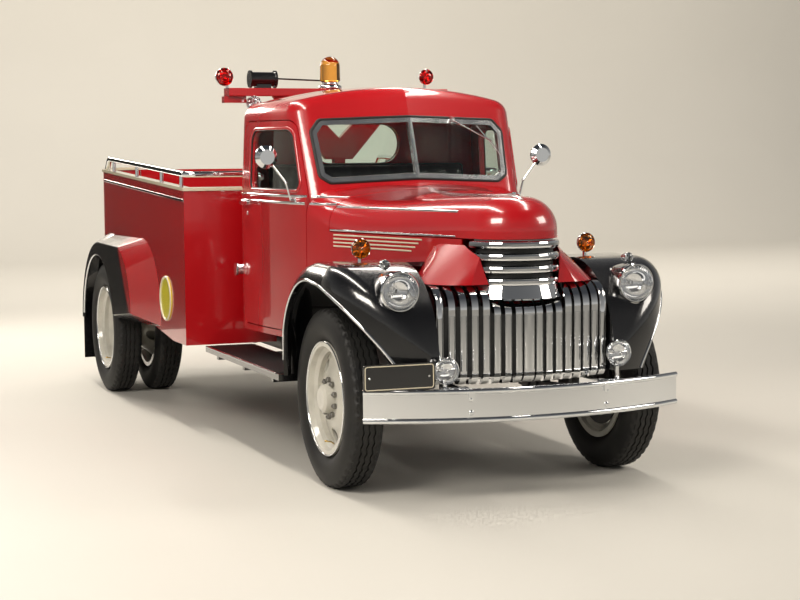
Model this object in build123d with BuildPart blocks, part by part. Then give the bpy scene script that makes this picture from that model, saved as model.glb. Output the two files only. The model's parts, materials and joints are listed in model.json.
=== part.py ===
from build123d import *
from math import asin, atan2, cos, degrees, pi, radians, sin, sqrt, tan
import os

os.makedirs("parts", exist_ok=True)

# A bonneted fire engine: cab, flared hood and a wide hose body on a ladder frame.
# Millimetres. +X points forward, +Y to the vehicle's left, +Z up.
# The origin is on the ground under the middle of the vehicle.

# Driving dimensions
FRONT_AXLE_X = 2050
WHEELBASE = 4064
REAR_AXLE_X = FRONT_AXLE_X - WHEELBASE
TYRE_R = 452.5
TYRE_W = 190
RIM_R = 268
FRONT_WHEEL_Y = 761.5
KINGPIN_Y = 640
DUAL_OUTER_Y = 1023
DUAL_INNER_Y = 731
AXLE_Z = TYRE_R

# Ladder frame and springs
RAIL_TOP = 720
RAIL_H = 160
RAIL_Y = 435
RAIL_FRONT_Y = 385
RAIL_FLANGE = 60
RAIL_WALL = 8
RAIL_REAR_X = -2560
RAIL_FRONT_X = 2505
FRONT_SPRING_Y = 355
REAR_SPRING_Y = 500
LEAF_T = 8
LEAF_W = 60

# Hood and cab from above: a round nose, a straight flare, then one long arc
NOSE_X = 2460
NOSE_R = 235
FLARE = 17.7
COWL_X = 1400
CAB_HALF_W = 758
CAB_REAR_X = 180
CAB_CORNER_R = 165
CAB_BOTTOM = 650
CAB_WALL = 42
BELT_Z = 1440
HOOD_SPLIT_Z = 1265
HOOD_WALL = 22
HOOD_GAP = 5
SHOULDER_R = 165
ROOF_R = 95
PILLAR_R = 130
SCREEN_X = 1237
SCREEN_Z = 1553
SCREEN_RAKE = 0.40
SCREEN_V = 0.089
UPPER_LEAN = 0.044
UPPER_TOP = 2100
CAB_FLOOR_Z = 745

# Doors and windows
DOOR_FRONT_X = 1190
DOOR_REAR_X = 358
DOOR_BOTTOM = 690
DOOR_TOP = 1865
DOOR_GAP = 6
GLASS_T = 6

# Hose body
BODY_HALF_W = 1050
BODY_FRONT_X = 86
BODY_REAR_X = -2500
BODY_CORNER_R = 300
BODY_WALL = 40
BODY_BOTTOM = 530
BODY_TOP = 1461
BODY_RAKE = 0.0389
BED_FLOOR_Z = 1000
TAILGATE_HALF_W = 720
RAIL_TUBE_R = 19
RAIL_RISE = 78

# Fenders
FENDER_Y = 920
FENDER_SKIN = 22
FENDER_REAR_X = 1515
FENDER_FRONT_X = 2680
FENDER_TOP = 1142
APRON_Y = 470
APRON_T = 14
APRON_LOW = 760
FENDER_LOW = 600
BOARD_TOP = 520
REAR_FENDER_Y = 1155
REAR_ARCH_R = 520

# Front end
BUMPER_X = 2850
BUMPER_R = 1860
BUMPER_BOTTOM = 405
BUMPER_TOP = 570
GRILLE_X = 2690
GRILLE_PLAN_R = 1270
GRILLE_BARS = 17
GRILLE_HALF_W = 440
HEADLAMP_Y = 637
HEADLAMP_Z = 1025
HEADLAMP_R = 96

# Lamp rack on its mast behind the cab
MAST_X = -110
RACK_Z = 2030
RACK_HALF_W = 720
RACK_H = 50
RACK_W = 120

SIDES = ((-1, "right"), (1, "left"))


def save(piece, label):
    """Names a finished piece and writes it."""
    piece.part.label = label
    export_step(piece.part, f"parts/{label}.step")


# The points where the plan outline's nose, flare and side arc meet
flare = radians(FLARE)
nose_end = (NOSE_X + NOSE_R * sin(flare), NOSE_R * cos(flare))
cowl_half_w = nose_end[1] + (nose_end[0] - COWL_X) * tan(flare)
side_r = (CAB_HALF_W - cowl_half_w) / (1 - cos(flare))
side_x = COWL_X - side_r * sin(flare)


def plan_outline(inset):
    """Hood and cab seen from above, with every side moved inwards by inset."""
    nose = NOSE_R - inset
    reach = side_r - inset
    back_x = CAB_REAR_X + inset
    side_y = CAB_HALF_W - side_r

    def on_arc(x):
        return (x, side_y + sqrt(reach ** 2 - (x - side_x) ** 2))

    front = (nose_end[0] - inset * sin(flare), nose_end[1] - inset * cos(flare))
    cowl_x = COWL_X - inset * sin(flare)
    with BuildSketch() as outline:
        with BuildLine():
            ThreePointArc((NOSE_X + nose, 0), (NOSE_X + nose * cos(pi / 5), nose * sin(pi / 5)), front)
            Line(front, on_arc(cowl_x))
            ThreePointArc(on_arc(cowl_x), on_arc(800), on_arc(back_x))
            Polyline(on_arc(back_x), (back_x, 0), (NOSE_X + nose, 0))
        make_face()
        mirror(about=Plane.XZ)
        rear = [v for v in outline.vertices() if v.X < back_x + 1 and abs(v.Y) > 400]
        fillet(rear, CAB_CORNER_R - inset)
    return outline.sketch


def arch_cap(stations):
    """Everything under a crown that runs along X, for intersecting."""
    with BuildPart() as cap:
        for x, top, crown_r in stations:
            edge = top - crown_r + sqrt(crown_r ** 2 - 1000 ** 2)
            with BuildSketch(Plane.YZ.offset(x)):
                with BuildLine():
                    ThreePointArc((-1000, edge), (0, top), (1000, edge))
                    Polyline((1000, edge), (1000, 300), (-1000, 300), (-1000, edge))
                make_face()
        loft()
    return cap.part


def hood_form(inset):
    """Nose, hood and cowl as one solid with round shoulders."""
    # Columns: x, height of the crown, radius of the crown across
    crown = ((1100, 1556 - inset, 5000), (1400, 1487 - inset, 2600),
             (1965, 1462 - inset, 1900), (2750, 1455 - inset, 1900))
    rear_x = 1150
    with BuildPart() as form:
        with BuildSketch(Plane.XY.offset(CAB_BOTTOM - inset)):
            add(plan_outline(inset))
            with Locations((rear_x, 0)):
                Rectangle(4000, 4000, align=(Align.MIN, Align.CENTER), mode=Mode.INTERSECT)
        extrude(amount=1100)
        add(arch_cap(crown), mode=Mode.INTERSECT)
        rim = [e for e in form.edges() if e.center().Z > 1280 and e.center().X > rear_x + 1
               and e.geom_type != GeomType.LINE]
        fillet(rim, SHOULDER_R - inset)
    return form.part


def cab_section(inset, lean, height):
    """The cab seen from above at a height, cut off at the windscreen's two planes."""
    front_x = SCREEN_X - inset - (height - SCREEN_Z) * SCREEN_RAKE
    with BuildSketch(Plane.XY.offset(height)) as section:
        add(plan_outline(inset + lean))
        with BuildLine():
            Polyline((front_x, 0), (front_x - 1000 * SCREEN_V, 1000), (4000, 1000), (4000, -1000),
                     (front_x - 1000 * SCREEN_V, -1000), (front_x, 0))
        make_face(mode=Mode.SUBTRACT)
        pillars = [v for v in section.vertices() if v.X > 800 and abs(v.Y) > 400]
        fillet(pillars, PILLAR_R - inset)
    return section.sketch


def cab_form(inset):
    """Cab and cowl as one solid, with every side moved inwards by inset."""
    # Columns: x, height of the roof, radius of the roof across
    dome = ((100, 2046 - inset, 2600), (640, 2066 - inset, 2600), (1400, 2006 - inset, 2600))
    top_lean = UPPER_LEAN * (UPPER_TOP - BELT_Z)
    with BuildPart() as upper:
        add(cab_section(inset, 0, BELT_Z))
        add(cab_section(inset, top_lean, UPPER_TOP))
        loft(ruled=True)
        add(arch_cap(dome), mode=Mode.INTERSECT)
        rim = [e for e in upper.edges() if e.center().Z > 1850 and e.length > 60
               and abs(e.bounding_box().size.Z) < 110]
        fillet(rim, ROOF_R - inset)
    with BuildPart() as form:
        add(upper.part)
        with BuildSketch(Plane.XY.offset(BELT_Z - 300)):
            add(cab_section(inset, 0, BELT_Z).moved(Location((0, 0, -BELT_Z))))
        extrude(amount=300)
        with BuildSketch(Plane.XY.offset(CAB_BOTTOM - inset)):
            add(plan_outline(inset))
            with Locations((DOOR_FRONT_X, 0)):
                Rectangle(4000, 4000, align=(Align.MAX, Align.CENTER), mode=Mode.INTERSECT)
        extrude(amount=BELT_Z - CAB_BOTTOM + inset)
        add(hood_form(inset))
        with BuildSketch(Plane.YZ.offset(COWL_X - inset)):
            Rectangle(4000, 6000)
        extrude(amount=2000, mode=Mode.SUBTRACT)
    return form.part


def box_between(low, high):
    """A box given by two corners."""
    size = [b - a for a, b in zip(low, high)]
    with BuildPart() as block:
        with Locations(low):
            Box(*size, align=Align.MIN)
    return block.part


def tube(start, end, radius):
    """A straight round bar between two points."""
    path = Vector(*end) - Vector(*start)
    with BuildPart() as bar:
        with BuildSketch(Plane(origin=start, z_dir=path)):
            Circle(radius)
        extrude(amount=path.length)
    return bar.part


def leaf_pack(x, seat_z, half_span, rise, leaves):
    """A stack of curved leaves in side view, seat_z being the underside of the shortest."""
    top_z = seat_z + leaves * LEAF_T
    curve = (half_span ** 2 + rise ** 2) / (2 * rise)
    centre_z = top_z - LEAF_T + curve
    with BuildSketch(Plane.XZ) as stack:
        for leaf in range(leaves):
            inner = curve + (leaf - 1) * LEAF_T
            outer = inner + LEAF_T
            turn = asin(half_span * (1 - leaf / (leaves + 1)) / curve)
            ends = [(x + r * sin(s * turn), centre_z - r * cos(turn)) for r in (inner, outer) for s in (-1, 1)]
            with BuildLine():
                ThreePointArc(ends[0], (x, centre_z - inner), ends[1])
                Line(ends[1], ends[3])
                ThreePointArc(ends[3], (x, centre_z - outer), ends[2])
                Line(ends[2], ends[0])
            make_face()
    return stack.sketch


# Ladder frame: two channel rails that close in at the front, joined by cross members
rail_line = ((RAIL_REAR_X, RAIL_Y), (700, RAIL_Y), (1250, RAIL_FRONT_Y), (RAIL_FRONT_X, RAIL_FRONT_Y))
CROSS_MEMBERS = (-2420, -1250, -300, 620, 2460)
CROSS_LOW = 640
with BuildPart() as frame_rails:
    for side, _ in SIDES:
        outer = [(x, side * y) for x, y in rail_line]
        inner = [(x, side * (y - RAIL_FLANGE)) for x, y in rail_line]
        web = [(x, side * (y - RAIL_WALL)) for x, y in rail_line]
        with BuildSketch(Plane.XY.offset(RAIL_TOP - RAIL_H)):
            with BuildLine():
                Polyline(*outer, *reversed(inner), outer[0])
            make_face()
        extrude(amount=RAIL_H)
        with BuildSketch(Plane.XY.offset(RAIL_TOP - RAIL_H + RAIL_WALL)):
            with BuildLine():
                Polyline(*web, *[(x, y - side * 200) for x, y in reversed(web)], web[0])
            make_face()
        extrude(amount=RAIL_H - 2 * RAIL_WALL, mode=Mode.SUBTRACT)
    for x in CROSS_MEMBERS:
        half = RAIL_Y if x < 700 else RAIL_FRONT_Y
        with BuildSketch(Plane.XZ.offset(-half + RAIL_WALL)):
            with Locations((x, (CROSS_LOW + RAIL_TOP - RAIL_WALL) / 2)):
                Rectangle(70, RAIL_TOP - RAIL_WALL - CROSS_LOW)
                Rectangle(54, RAIL_TOP - 3 * RAIL_WALL - CROSS_LOW, mode=Mode.SUBTRACT)
        extrude(amount=2 * (half - RAIL_WALL))
save(frame_rails, "frame_rails")

# Front axle: a dropped beam of I section with an eye for each kingpin
BEAM_LOW = 345
BEAM_HIGH = 410
EYE_LOW = 418
EYE_HIGH = 487
beam_half = (((0, BEAM_LOW), (440, BEAM_LOW), (KINGPIN_Y - 36, EYE_LOW + 4), (KINGPIN_Y - 20, EYE_LOW + 4)),
             ((KINGPIN_Y - 20, EYE_HIGH - 4), (470, BEAM_HIGH), (0, BEAM_HIGH)))
with BuildPart() as front_axle:
    with BuildSketch(Plane.YZ.offset(FRONT_AXLE_X - 32)):
        with BuildLine():
            Polyline(*beam_half[0], *beam_half[1], (0, BEAM_LOW))
        make_face()
        mirror(about=Plane.YZ)
    extrude(amount=64)
    for recess_x in (FRONT_AXLE_X - 32, FRONT_AXLE_X + 9):
        with BuildSketch(Plane.YZ.offset(recess_x)):
            with BuildLine():
                Polyline((0, BEAM_LOW + 13), (430, BEAM_LOW + 13), (560, 410), (560, 440),
                         (460, BEAM_HIGH - 13), (0, BEAM_HIGH - 13), (0, BEAM_LOW + 13))
            make_face()
            mirror(about=Plane.YZ)
        extrude(amount=23, mode=Mode.SUBTRACT)
    for side, _ in SIDES:
        with BuildSketch(Plane.XY.offset(EYE_LOW)):
            with Locations((FRONT_AXLE_X, side * KINGPIN_Y)):
                Circle(36)
        extrude(amount=EYE_HIGH - EYE_LOW)
        with BuildSketch(Plane.XY.offset(EYE_LOW - 44)):
            with Locations((FRONT_AXLE_X, side * KINGPIN_Y)):
                Circle(15)
        extrude(amount=EYE_HIGH - EYE_LOW + 88)
        with BuildSketch(Plane.XY.offset(BEAM_HIGH)):
            with Locations((FRONT_AXLE_X, side * FRONT_SPRING_Y)):
                Rectangle(120, 74)
        extrude(amount=9)
save(front_axle, "front_axle")

# Rear axle: a banjo housing with tapering tubes, and the torque tube that runs forward from it
with BuildPart() as rear_axle:
    with BuildSketch(Plane.XY.offset(AXLE_Z)):
        with BuildLine():
            Polyline((REAR_AXLE_X, 0), (REAR_AXLE_X + 165, 0), (REAR_AXLE_X + 150, 70), (REAR_AXLE_X + 72, 190),
                     (REAR_AXLE_X + 52, 300), (REAR_AXLE_X + 48, 600), (REAR_AXLE_X, 600), (REAR_AXLE_X, 0))
        make_face()
    revolve(axis=Axis((REAR_AXLE_X, 0, AXLE_Z), (0, 1, 0)))
    mirror(about=Plane.XZ)
    for side, _ in SIDES:
        with BuildSketch(Plane.XZ.offset(-side * 600)):
            with Locations((REAR_AXLE_X, AXLE_Z)):
                Circle(30)
        extrude(amount=-side * 340)
        with BuildSketch(Plane.XY.offset(AXLE_Z)):
            with Locations((REAR_AXLE_X, side * REAR_SPRING_Y)):
                Rectangle(120, 76)
        extrude(amount=60)
    add(tube((1034, 0, 600), (REAR_AXLE_X + 120, 0, AXLE_Z + 20), 42))
save(rear_axle, "rear_axle")

# Leaf springs with their shackle brackets and clamp plates
# Columns: axle x, y, seat height, half span, rise, leaves, outboard of the rail
SPRINGS = ((FRONT_AXLE_X, FRONT_SPRING_Y, BEAM_HIGH + 9, 420, 40, 8, 0),
           (REAR_AXLE_X, REAR_SPRING_Y, AXLE_Z + 60, 560, 62, 11, 1))
with BuildPart() as leaf_springs:
    for x, y, seat_z, span, rise, leaves, outboard in SPRINGS:
        top_z = seat_z + leaves * LEAF_T
        for side, _ in SIDES:
            with BuildSketch(Plane.XZ.offset(-side * y - LEAF_W / 2)):
                add(leaf_pack(x, seat_z, span, rise, leaves))
            extrude(amount=LEAF_W)
            with Locations((x, side * y, top_z + 6)):
                Box(110, 72, 12)
            for end in (-1, 1):
                eye = (x + end * (span + 14), top_z + rise + 4)
                with BuildSketch(Plane.XZ.offset(-side * y - LEAF_W / 2)):
                    with Locations(eye):
                        Circle(20)
                extrude(amount=LEAF_W)
                if outboard:
                    with BuildSketch(Plane.YZ.offset(eye[0] - 18)):
                        with BuildLine():
                            Polyline((side * RAIL_Y, RAIL_TOP - 20), (side * (y + 34), eye[1] + 20),
                                     (side * (y + 34), eye[1]), (side * RAIL_Y, eye[1]),
                                     (side * RAIL_Y, RAIL_TOP - 20))
                        make_face()
                    extrude(amount=36)
                else:
                    with BuildSketch(Plane.XY.offset(eye[1])):
                        with Locations((eye[0], side * y)):
                            Rectangle(40, 60)
                    extrude(amount=RAIL_TOP - RAIL_H - eye[1])
save(leaf_springs, "leaf_springs")

# Engine with its gearbox as one plain block, and the exhaust along the right rail
with BuildPart() as engine_block:
    with Locations((1890, 0, 860)):
        Box(780, 440, 560)
    with Locations((1270, 0, 620)):
        Box(460, 260, 180)
save(engine_block, "engine_block")

with BuildPart() as exhaust:
    with BuildLine() as run:
        FilletPolyline((1640, -221, 745), (1640, -291, 745), (1470, -285, 610), (1250, -285, 490),
                       (-900, -285, 490), (-1300, -570, 470), radius=45)
    with BuildSketch(Plane(origin=run.line @ 0, z_dir=run.line % 0)):
        Circle(26)
    sweep()
    with BuildSketch(Plane.YZ.offset(-150)):
        with Locations((-285, 490)):
            Ellipse(95, 65)
    extrude(amount=-560)
save(exhaust, "exhaust")

# Radiator behind the bars
with BuildPart() as radiator:
    with Locations((2440, 0, 877)):
        Box(70, 560, 318)
    with Locations((2440, 0, 1066)):
        Box(96, 420, 60)
save(radiator, "radiator")


# Wheels, turned about the axle: profiles are (radius, offset along the axle, outwards positive)
def tyre_profile(centre):
    half = TYRE_W / 2
    bead = RIM_R + 0.3
    with BuildSketch() as profile:
        with BuildLine():
            wall = ((bead, 60), (bead + 24, 60), (322, half - 10), (356, half), (392, half - 4),
                    (TYRE_R - 26, 80), (TYRE_R - 6, 72), (TYRE_R, 55))
            outer = [(r, centre + w) for r, w in wall]
            Polyline(*outer, *[(r, centre - w) for r, w in reversed(wall)], outer[0])
        make_face()
    return profile.sketch


def wheel_plane(x, side, y):
    """Local x is the radius, upwards; local y runs outwards along the axle."""
    return Plane(origin=(x, side * y, AXLE_Z), x_dir=(0, 0, 1), z_dir=(-side, 0, 0))


def disc_wheel(plane, dish, hub_r, hub_depth):
    """A pressed disc wheel with five round hand holes; dish is where the disc is bolted."""
    with BuildPart() as wheel:
        with BuildSketch(plane):
            with BuildLine():
                Polyline((RIM_R, -62), (RIM_R, 62), (RIM_R + 24, 68), (RIM_R + 24, 76), (RIM_R - 4, 76),
                         (RIM_R - 12, 50), (RIM_R - 32, 34), (RIM_R - 32, -40), (RIM_R - 10, -56),
                         (RIM_R - 4, -76), (RIM_R + 24, -76), (RIM_R + 24, -68), (RIM_R, -62))
            make_face()
            with BuildLine():
                Polyline((RIM_R - 30, 8), (170, dish * 0.62), (112, dish), (0, dish), (0, dish - 11),
                         (108, dish - 11), (164, dish * 0.62 - 12), (RIM_R - 30, -10), (RIM_R - 30, 8))
            make_face()
            with BuildLine():
                Polyline((0, dish), (hub_r, dish), (hub_r * 0.92, dish + hub_depth * 0.8),
                         (hub_r * 0.7, dish + hub_depth), (0, dish + hub_depth), (0, dish))
            make_face()
        revolve(axis=Axis(plane.origin, plane.y_dir))
        hole_plane = Plane(origin=plane.origin, x_dir=plane.x_dir, z_dir=plane.y_dir)
        with BuildSketch(hole_plane.offset(dish * 0.62 - 80)):
            with PolarLocations(187, 5, start_angle=36):
                Circle(36)
        extrude(amount=160, mode=Mode.SUBTRACT)
    return wheel.part


for side, label in SIDES:
    front = wheel_plane(FRONT_AXLE_X, side, FRONT_WHEEL_Y)
    with BuildPart() as tyre:
        with BuildSketch(front):
            add(tyre_profile(0))
        revolve(axis=Axis(front.origin, front.y_dir))
    save(tyre, f"tyre_front_{label}")
    with BuildPart() as front_wheel:
        add(disc_wheel(front, 48, 78, 52))
        with BuildSketch(front):
            with BuildLine():
                Polyline((26, 36), (160, 30), (178, 10), (178, -52), (170, -52), (170, 2), (26, 12), (26, 36))
            make_face()
        revolve(axis=Axis(front.origin, front.y_dir))
    save(front_wheel, f"wheel_front_{label}")

    outer = wheel_plane(REAR_AXLE_X, side, DUAL_OUTER_Y)
    gap = DUAL_OUTER_Y - DUAL_INNER_Y
    with BuildPart() as duals:
        with BuildSketch(outer):
            add(tyre_profile(0))
            add(tyre_profile(-gap))
        revolve(axis=Axis(outer.origin, outer.y_dir))
    save(duals, f"tyres_rear_{label}")
    inner = wheel_plane(REAR_AXLE_X, side, DUAL_INNER_Y)
    flipped = Plane(origin=inner.origin, x_dir=(0, 0, 1), z_dir=(side, 0, 0))
    mate = gap / 2
    with BuildPart() as rear_wheel:
        add(disc_wheel(outer, -mate, 84, 96))
        add(disc_wheel(flipped, -mate, 60, 4))
        with BuildSketch(inner):
            with BuildLine():
                Polyline((30.08, -60), (190, -60), (190, 40), (182, 40), (182, -40), (100, -30), (100, mate),
                         (30.08, mate), (30.08, -60))
            make_face()
        revolve(axis=Axis(inner.origin, inner.y_dir))
        with BuildSketch(Plane.XZ.offset(-side * (DUAL_INNER_Y - 100))):
            with Locations((REAR_AXLE_X, AXLE_Z)):
                Circle(30.08)
        extrude(amount=-side * 314, mode=Mode.SUBTRACT)
    save(rear_wheel, f"wheels_rear_{label}")

    # Knuckle: a fork round the axle's eye, the spindle, a brake back plate and the steering arm
    with BuildPart() as knuckle:
        for low, high in ((EYE_LOW - 40, EYE_LOW - 0.5), (EYE_HIGH + 0.5, EYE_HIGH + 40)):
            with BuildSketch(Plane.XY.offset(low)):
                with Locations((FRONT_AXLE_X, side * KINGPIN_Y)):
                    Circle(32)
                with Locations((FRONT_AXLE_X, side * (KINGPIN_Y + 31))):
                    Rectangle(64, 62)
                with Locations((FRONT_AXLE_X, side * KINGPIN_Y)):
                    Circle(15.06, mode=Mode.SUBTRACT)
            extrude(amount=high - low)
        with BuildSketch(Plane.XZ.offset(-side * (KINGPIN_Y + 44))):
            with Locations((FRONT_AXLE_X, AXLE_Z)):
                RectangleRounded(74, 150, 20)
        extrude(amount=-side * 20)
        with BuildSketch(Plane.XZ.offset(-side * (KINGPIN_Y + 55))):
            with Locations((FRONT_AXLE_X, AXLE_Z)):
                Circle(160)
        extrude(amount=-side * 5)
        with BuildSketch(Plane.XZ.offset(-side * (KINGPIN_Y + 55))):
            with Locations((FRONT_AXLE_X, AXLE_Z)):
                Circle(25.94)
        extrude(amount=-side * 99)
        add(tube((FRONT_AXLE_X - 26, side * (KINGPIN_Y + 26), EYE_LOW - 24),
                 (FRONT_AXLE_X - 190, side * KINGPIN_Y, EYE_LOW - 24), 14))
        with BuildSketch(Plane.XY.offset(EYE_LOW - 42)):
            with Locations((FRONT_AXLE_X - 190, side * KINGPIN_Y)):
                Circle(22)
        extrude(amount=36)
        with BuildSketch(Plane.XY.offset(EYE_LOW - 86)):
            with Locations((FRONT_AXLE_X - 190, side * KINGPIN_Y)):
                Circle(9)
        extrude(amount=50)
    save(knuckle, f"knuckle_{label}")

# Tie rod between the two steering arms, an eye round each ball pin
TIE_Z = EYE_LOW - 66
with BuildPart() as tie_rod:
    reach = KINGPIN_Y - 10
    add(tube((FRONT_AXLE_X - 190, -reach, TIE_Z), (FRONT_AXLE_X - 190, reach, TIE_Z), 13))
    for side, _ in SIDES:
        with BuildSketch(Plane.XY.offset(TIE_Z - 16)):
            with Locations((FRONT_AXLE_X - 190, side * KINGPIN_Y)):
                Circle(22)
        extrude(amount=32)
        with BuildSketch(Plane.XY.offset(TIE_Z - 16)):
            with Locations((FRONT_AXLE_X - 190, side * KINGPIN_Y)):
                Circle(9.06)
        extrude(amount=32, mode=Mode.SUBTRACT)
save(tie_rod, "tie_rod")


# Cab: one hollow form, split where the real panels meet
cab_outer = cab_form(0)
cab_inner = cab_form(CAB_WALL)
with BuildPart() as cab_shell:
    add(cab_outer)
    add(cab_inner, mode=Mode.SUBTRACT)
    with BuildSketch(Plane.XY.offset(CAB_BOTTOM - CAB_WALL)):
        Rectangle(4000, 4000)
    extrude(amount=CAB_WALL, mode=Mode.SUBTRACT)
ROOF_SPLIT = DOOR_TOP + DOOR_GAP


def door_outline(grow):
    """A door in side view; its front edge leans back along the windscreen pillar."""
    top_front = DOOR_FRONT_X - (DOOR_TOP - BELT_Z) * SCREEN_RAKE
    with BuildSketch() as outline:
        with BuildLine():
            Polyline((DOOR_REAR_X, DOOR_BOTTOM), (DOOR_FRONT_X, DOOR_BOTTOM), (DOOR_FRONT_X, BELT_Z),
                     (top_front, DOOR_TOP), (DOOR_REAR_X, DOOR_TOP), (DOOR_REAR_X, DOOR_BOTTOM))
        make_face()
        upper = outline.vertices().group_by(Axis.Y)[-1]
        fillet(upper, 85)
        lower = outline.vertices().group_by(Axis.Y)[0].sort_by(Axis.X)[0]
        fillet(lower, 60)
        if grow:
            offset(amount=grow)
    return outline.sketch


def window_outline(grow):
    """The window in a door, in side view."""
    with BuildSketch() as outline:
        with BuildLine():
            Polyline((490, 1482), (1128, 1482), (1008, 1815), (490, 1815), (490, 1482))
        make_face()
        fillet(outline.vertices().group_by(Axis.Y)[-1], 78)
        fillet(outline.vertices().group_by(Axis.Y)[0], 42)
        if grow:
            offset(amount=grow)
    return outline.sketch


def windscreen_outline(grow):
    """The windscreen from the front: two panes in one rounded opening."""
    with BuildSketch() as outline:
        with BuildLine():
            Polyline((0, 1545), (500, 1524), (556, 1560), (572, 1800), (520, 1862), (0, 1880), (0, 1545))
        make_face()
        mirror(about=Plane.YZ)
        corners = [v for v in outline.vertices() if abs(v.X) > 490]
        fillet(corners, 32)
        if grow:
            offset(amount=grow)
    return outline.sketch


def rear_window_outline(grow):
    """The oval window in the cab's back."""
    with BuildSketch() as outline:
        with Locations((0, 1735)):
            RectangleRounded(560 + 2 * grow, 240 + 2 * grow, 118 + grow)
    return outline.sketch


def side_plane(side, y):
    """A vertical plane at y whose normal points outwards from the cab."""
    return Plane(origin=(0, side * y, 0), x_dir=(1, 0, 0), z_dir=(0, side, 0))


def side_cut(outline, side):
    """A side-view outline run through one side of the cab."""
    turned = outline if side < 0 else outline.mirror(Plane.XZ)
    with BuildPart() as cut:
        with BuildSketch(side_plane(side, 400)):
            add(turned)
        extrude(amount=500)
    return cut.part


def front_cut(outline, near_x, far_x):
    """A front-view outline run along X."""
    with BuildPart() as cut:
        with BuildSketch(Plane.YZ.offset(near_x)):
            add(outline)
        extrude(amount=far_x - near_x)
    return cut.part


with BuildPart() as cab_open:
    add(cab_shell.part)
    for side, _ in SIDES:
        add(side_cut(door_outline(DOOR_GAP), side), mode=Mode.SUBTRACT)
    add(front_cut(windscreen_outline(0), 900, 1600), mode=Mode.SUBTRACT)
    add(front_cut(rear_window_outline(0), 100, 400), mode=Mode.SUBTRACT)
    # The frame, gearbox and exhaust run under the floor
    add(box_between((100, -450, 600), (1500, 450, RAIL_TOP)), mode=Mode.SUBTRACT)

SPLIT_X = 774
# Columns: label, box low corner, box high corner
CAB_PANELS = (("cab_roof", (0, ROOF_SPLIT), (1600, 2200)),
              ("cab_front", (SPLIT_X, 500), (1600, ROOF_SPLIT)),
              ("cab_back", (0, 500), (SPLIT_X, ROOF_SPLIT)))
for label, low, high in CAB_PANELS:
    with BuildPart() as panel:
        add(cab_open.part)
        with BuildSketch(Plane.XZ.offset(-1200)):
            with Locations(low):
                Rectangle(high[0] - low[0], high[1] - low[1], align=Align.MIN)
        extrude(amount=2400, mode=Mode.INTERSECT)
        if label == "cab_front":
            # Dashboard
            with BuildSketch(Plane.XZ.offset(-560)):
                with BuildLine():
                    Polyline((1225, 1440), (1130, 1440), (1100, 1290), (1130, 1270), (1225, 1300), (1225, 1440))
                make_face()
            extrude(amount=1120)
        if label == "cab_back":
            # Fuel filler on the right corner
            for y, radius, length in ((740, 30, 43), (783, 37, 16)):
                with BuildSketch(Plane.XZ.offset(y)):
                    with Locations((305, 998)):
                        Circle(radius)
                extrude(amount=length)
    save(panel, label)

# Floor with the box that the seat stands on
SEAT_X = 470
SEAT_Z = 995
with BuildPart() as cab_floor:
    add(cab_inner)
    with BuildSketch(Plane.XY.offset(RAIL_TOP)):
        # Beside the doors the floor's edge stands back from their swing
        add(plan_outline(CAB_WALL + DOOR_GAP + 2))
        with Locations((DOOR_REAR_X - 12, 0)):
            Rectangle(400, 2000, align=(Align.MAX, Align.CENTER))
        with Locations((DOOR_FRONT_X + 20, 0)):
            Rectangle(400, 2000, align=(Align.MIN, Align.CENTER))
    extrude(amount=CAB_FLOOR_Z - RAIL_TOP, mode=Mode.INTERSECT)
    add(box_between((SEAT_X + 25, -590, CAB_FLOOR_Z), (SEAT_X + 455, 590, SEAT_Z)))
save(cab_floor, "cab_floor")

glass_outer = cab_form(20)
glass_inner = cab_form(20 + GLASS_T)
with BuildPart() as glass_skin:
    add(glass_outer)
    add(glass_inner, mode=Mode.SUBTRACT)
with BuildPart() as windscreen_glass:
    add(glass_skin.part)
    add(front_cut(windscreen_outline(-12), 900, 1600), mode=Mode.INTERSECT)
    with Locations((1170, 0, 1710)):
        Box(600, 12, 600, mode=Mode.SUBTRACT)
with BuildPart() as cab_glass:
    add(glass_skin.part)
    add(front_cut(rear_window_outline(0), 100, 400), mode=Mode.INTERSECT)
    add(windscreen_glass.part)
save(cab_glass, "cab_glass")

with BuildPart() as frame_ring:
    add(front_cut(windscreen_outline(0), 900, 1600))
    add(front_cut(windscreen_outline(-25), 800, 1700), mode=Mode.SUBTRACT)
    with Locations((1170, 0, 1710)):
        Box(600, 24, 310)
with BuildPart() as windscreen_frame:
    add(cab_form(-7))
    add(cab_form(34), mode=Mode.SUBTRACT)
    add(frame_ring.part, mode=Mode.INTERSECT)
    add(windscreen_glass.part, mode=Mode.SUBTRACT)
    # One wiper, hung from the frame's upper edge
    add(tube((1092, 262, 1876), (1124, 262, 1866), 13))
    add(tube((1120, 262, 1864), (1174, 480, 1745), 5))
    add(tube((1140, 400, 1834), (1190, 535, 1660), 4))
save(windscreen_frame, "windscreen_frame")

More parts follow.
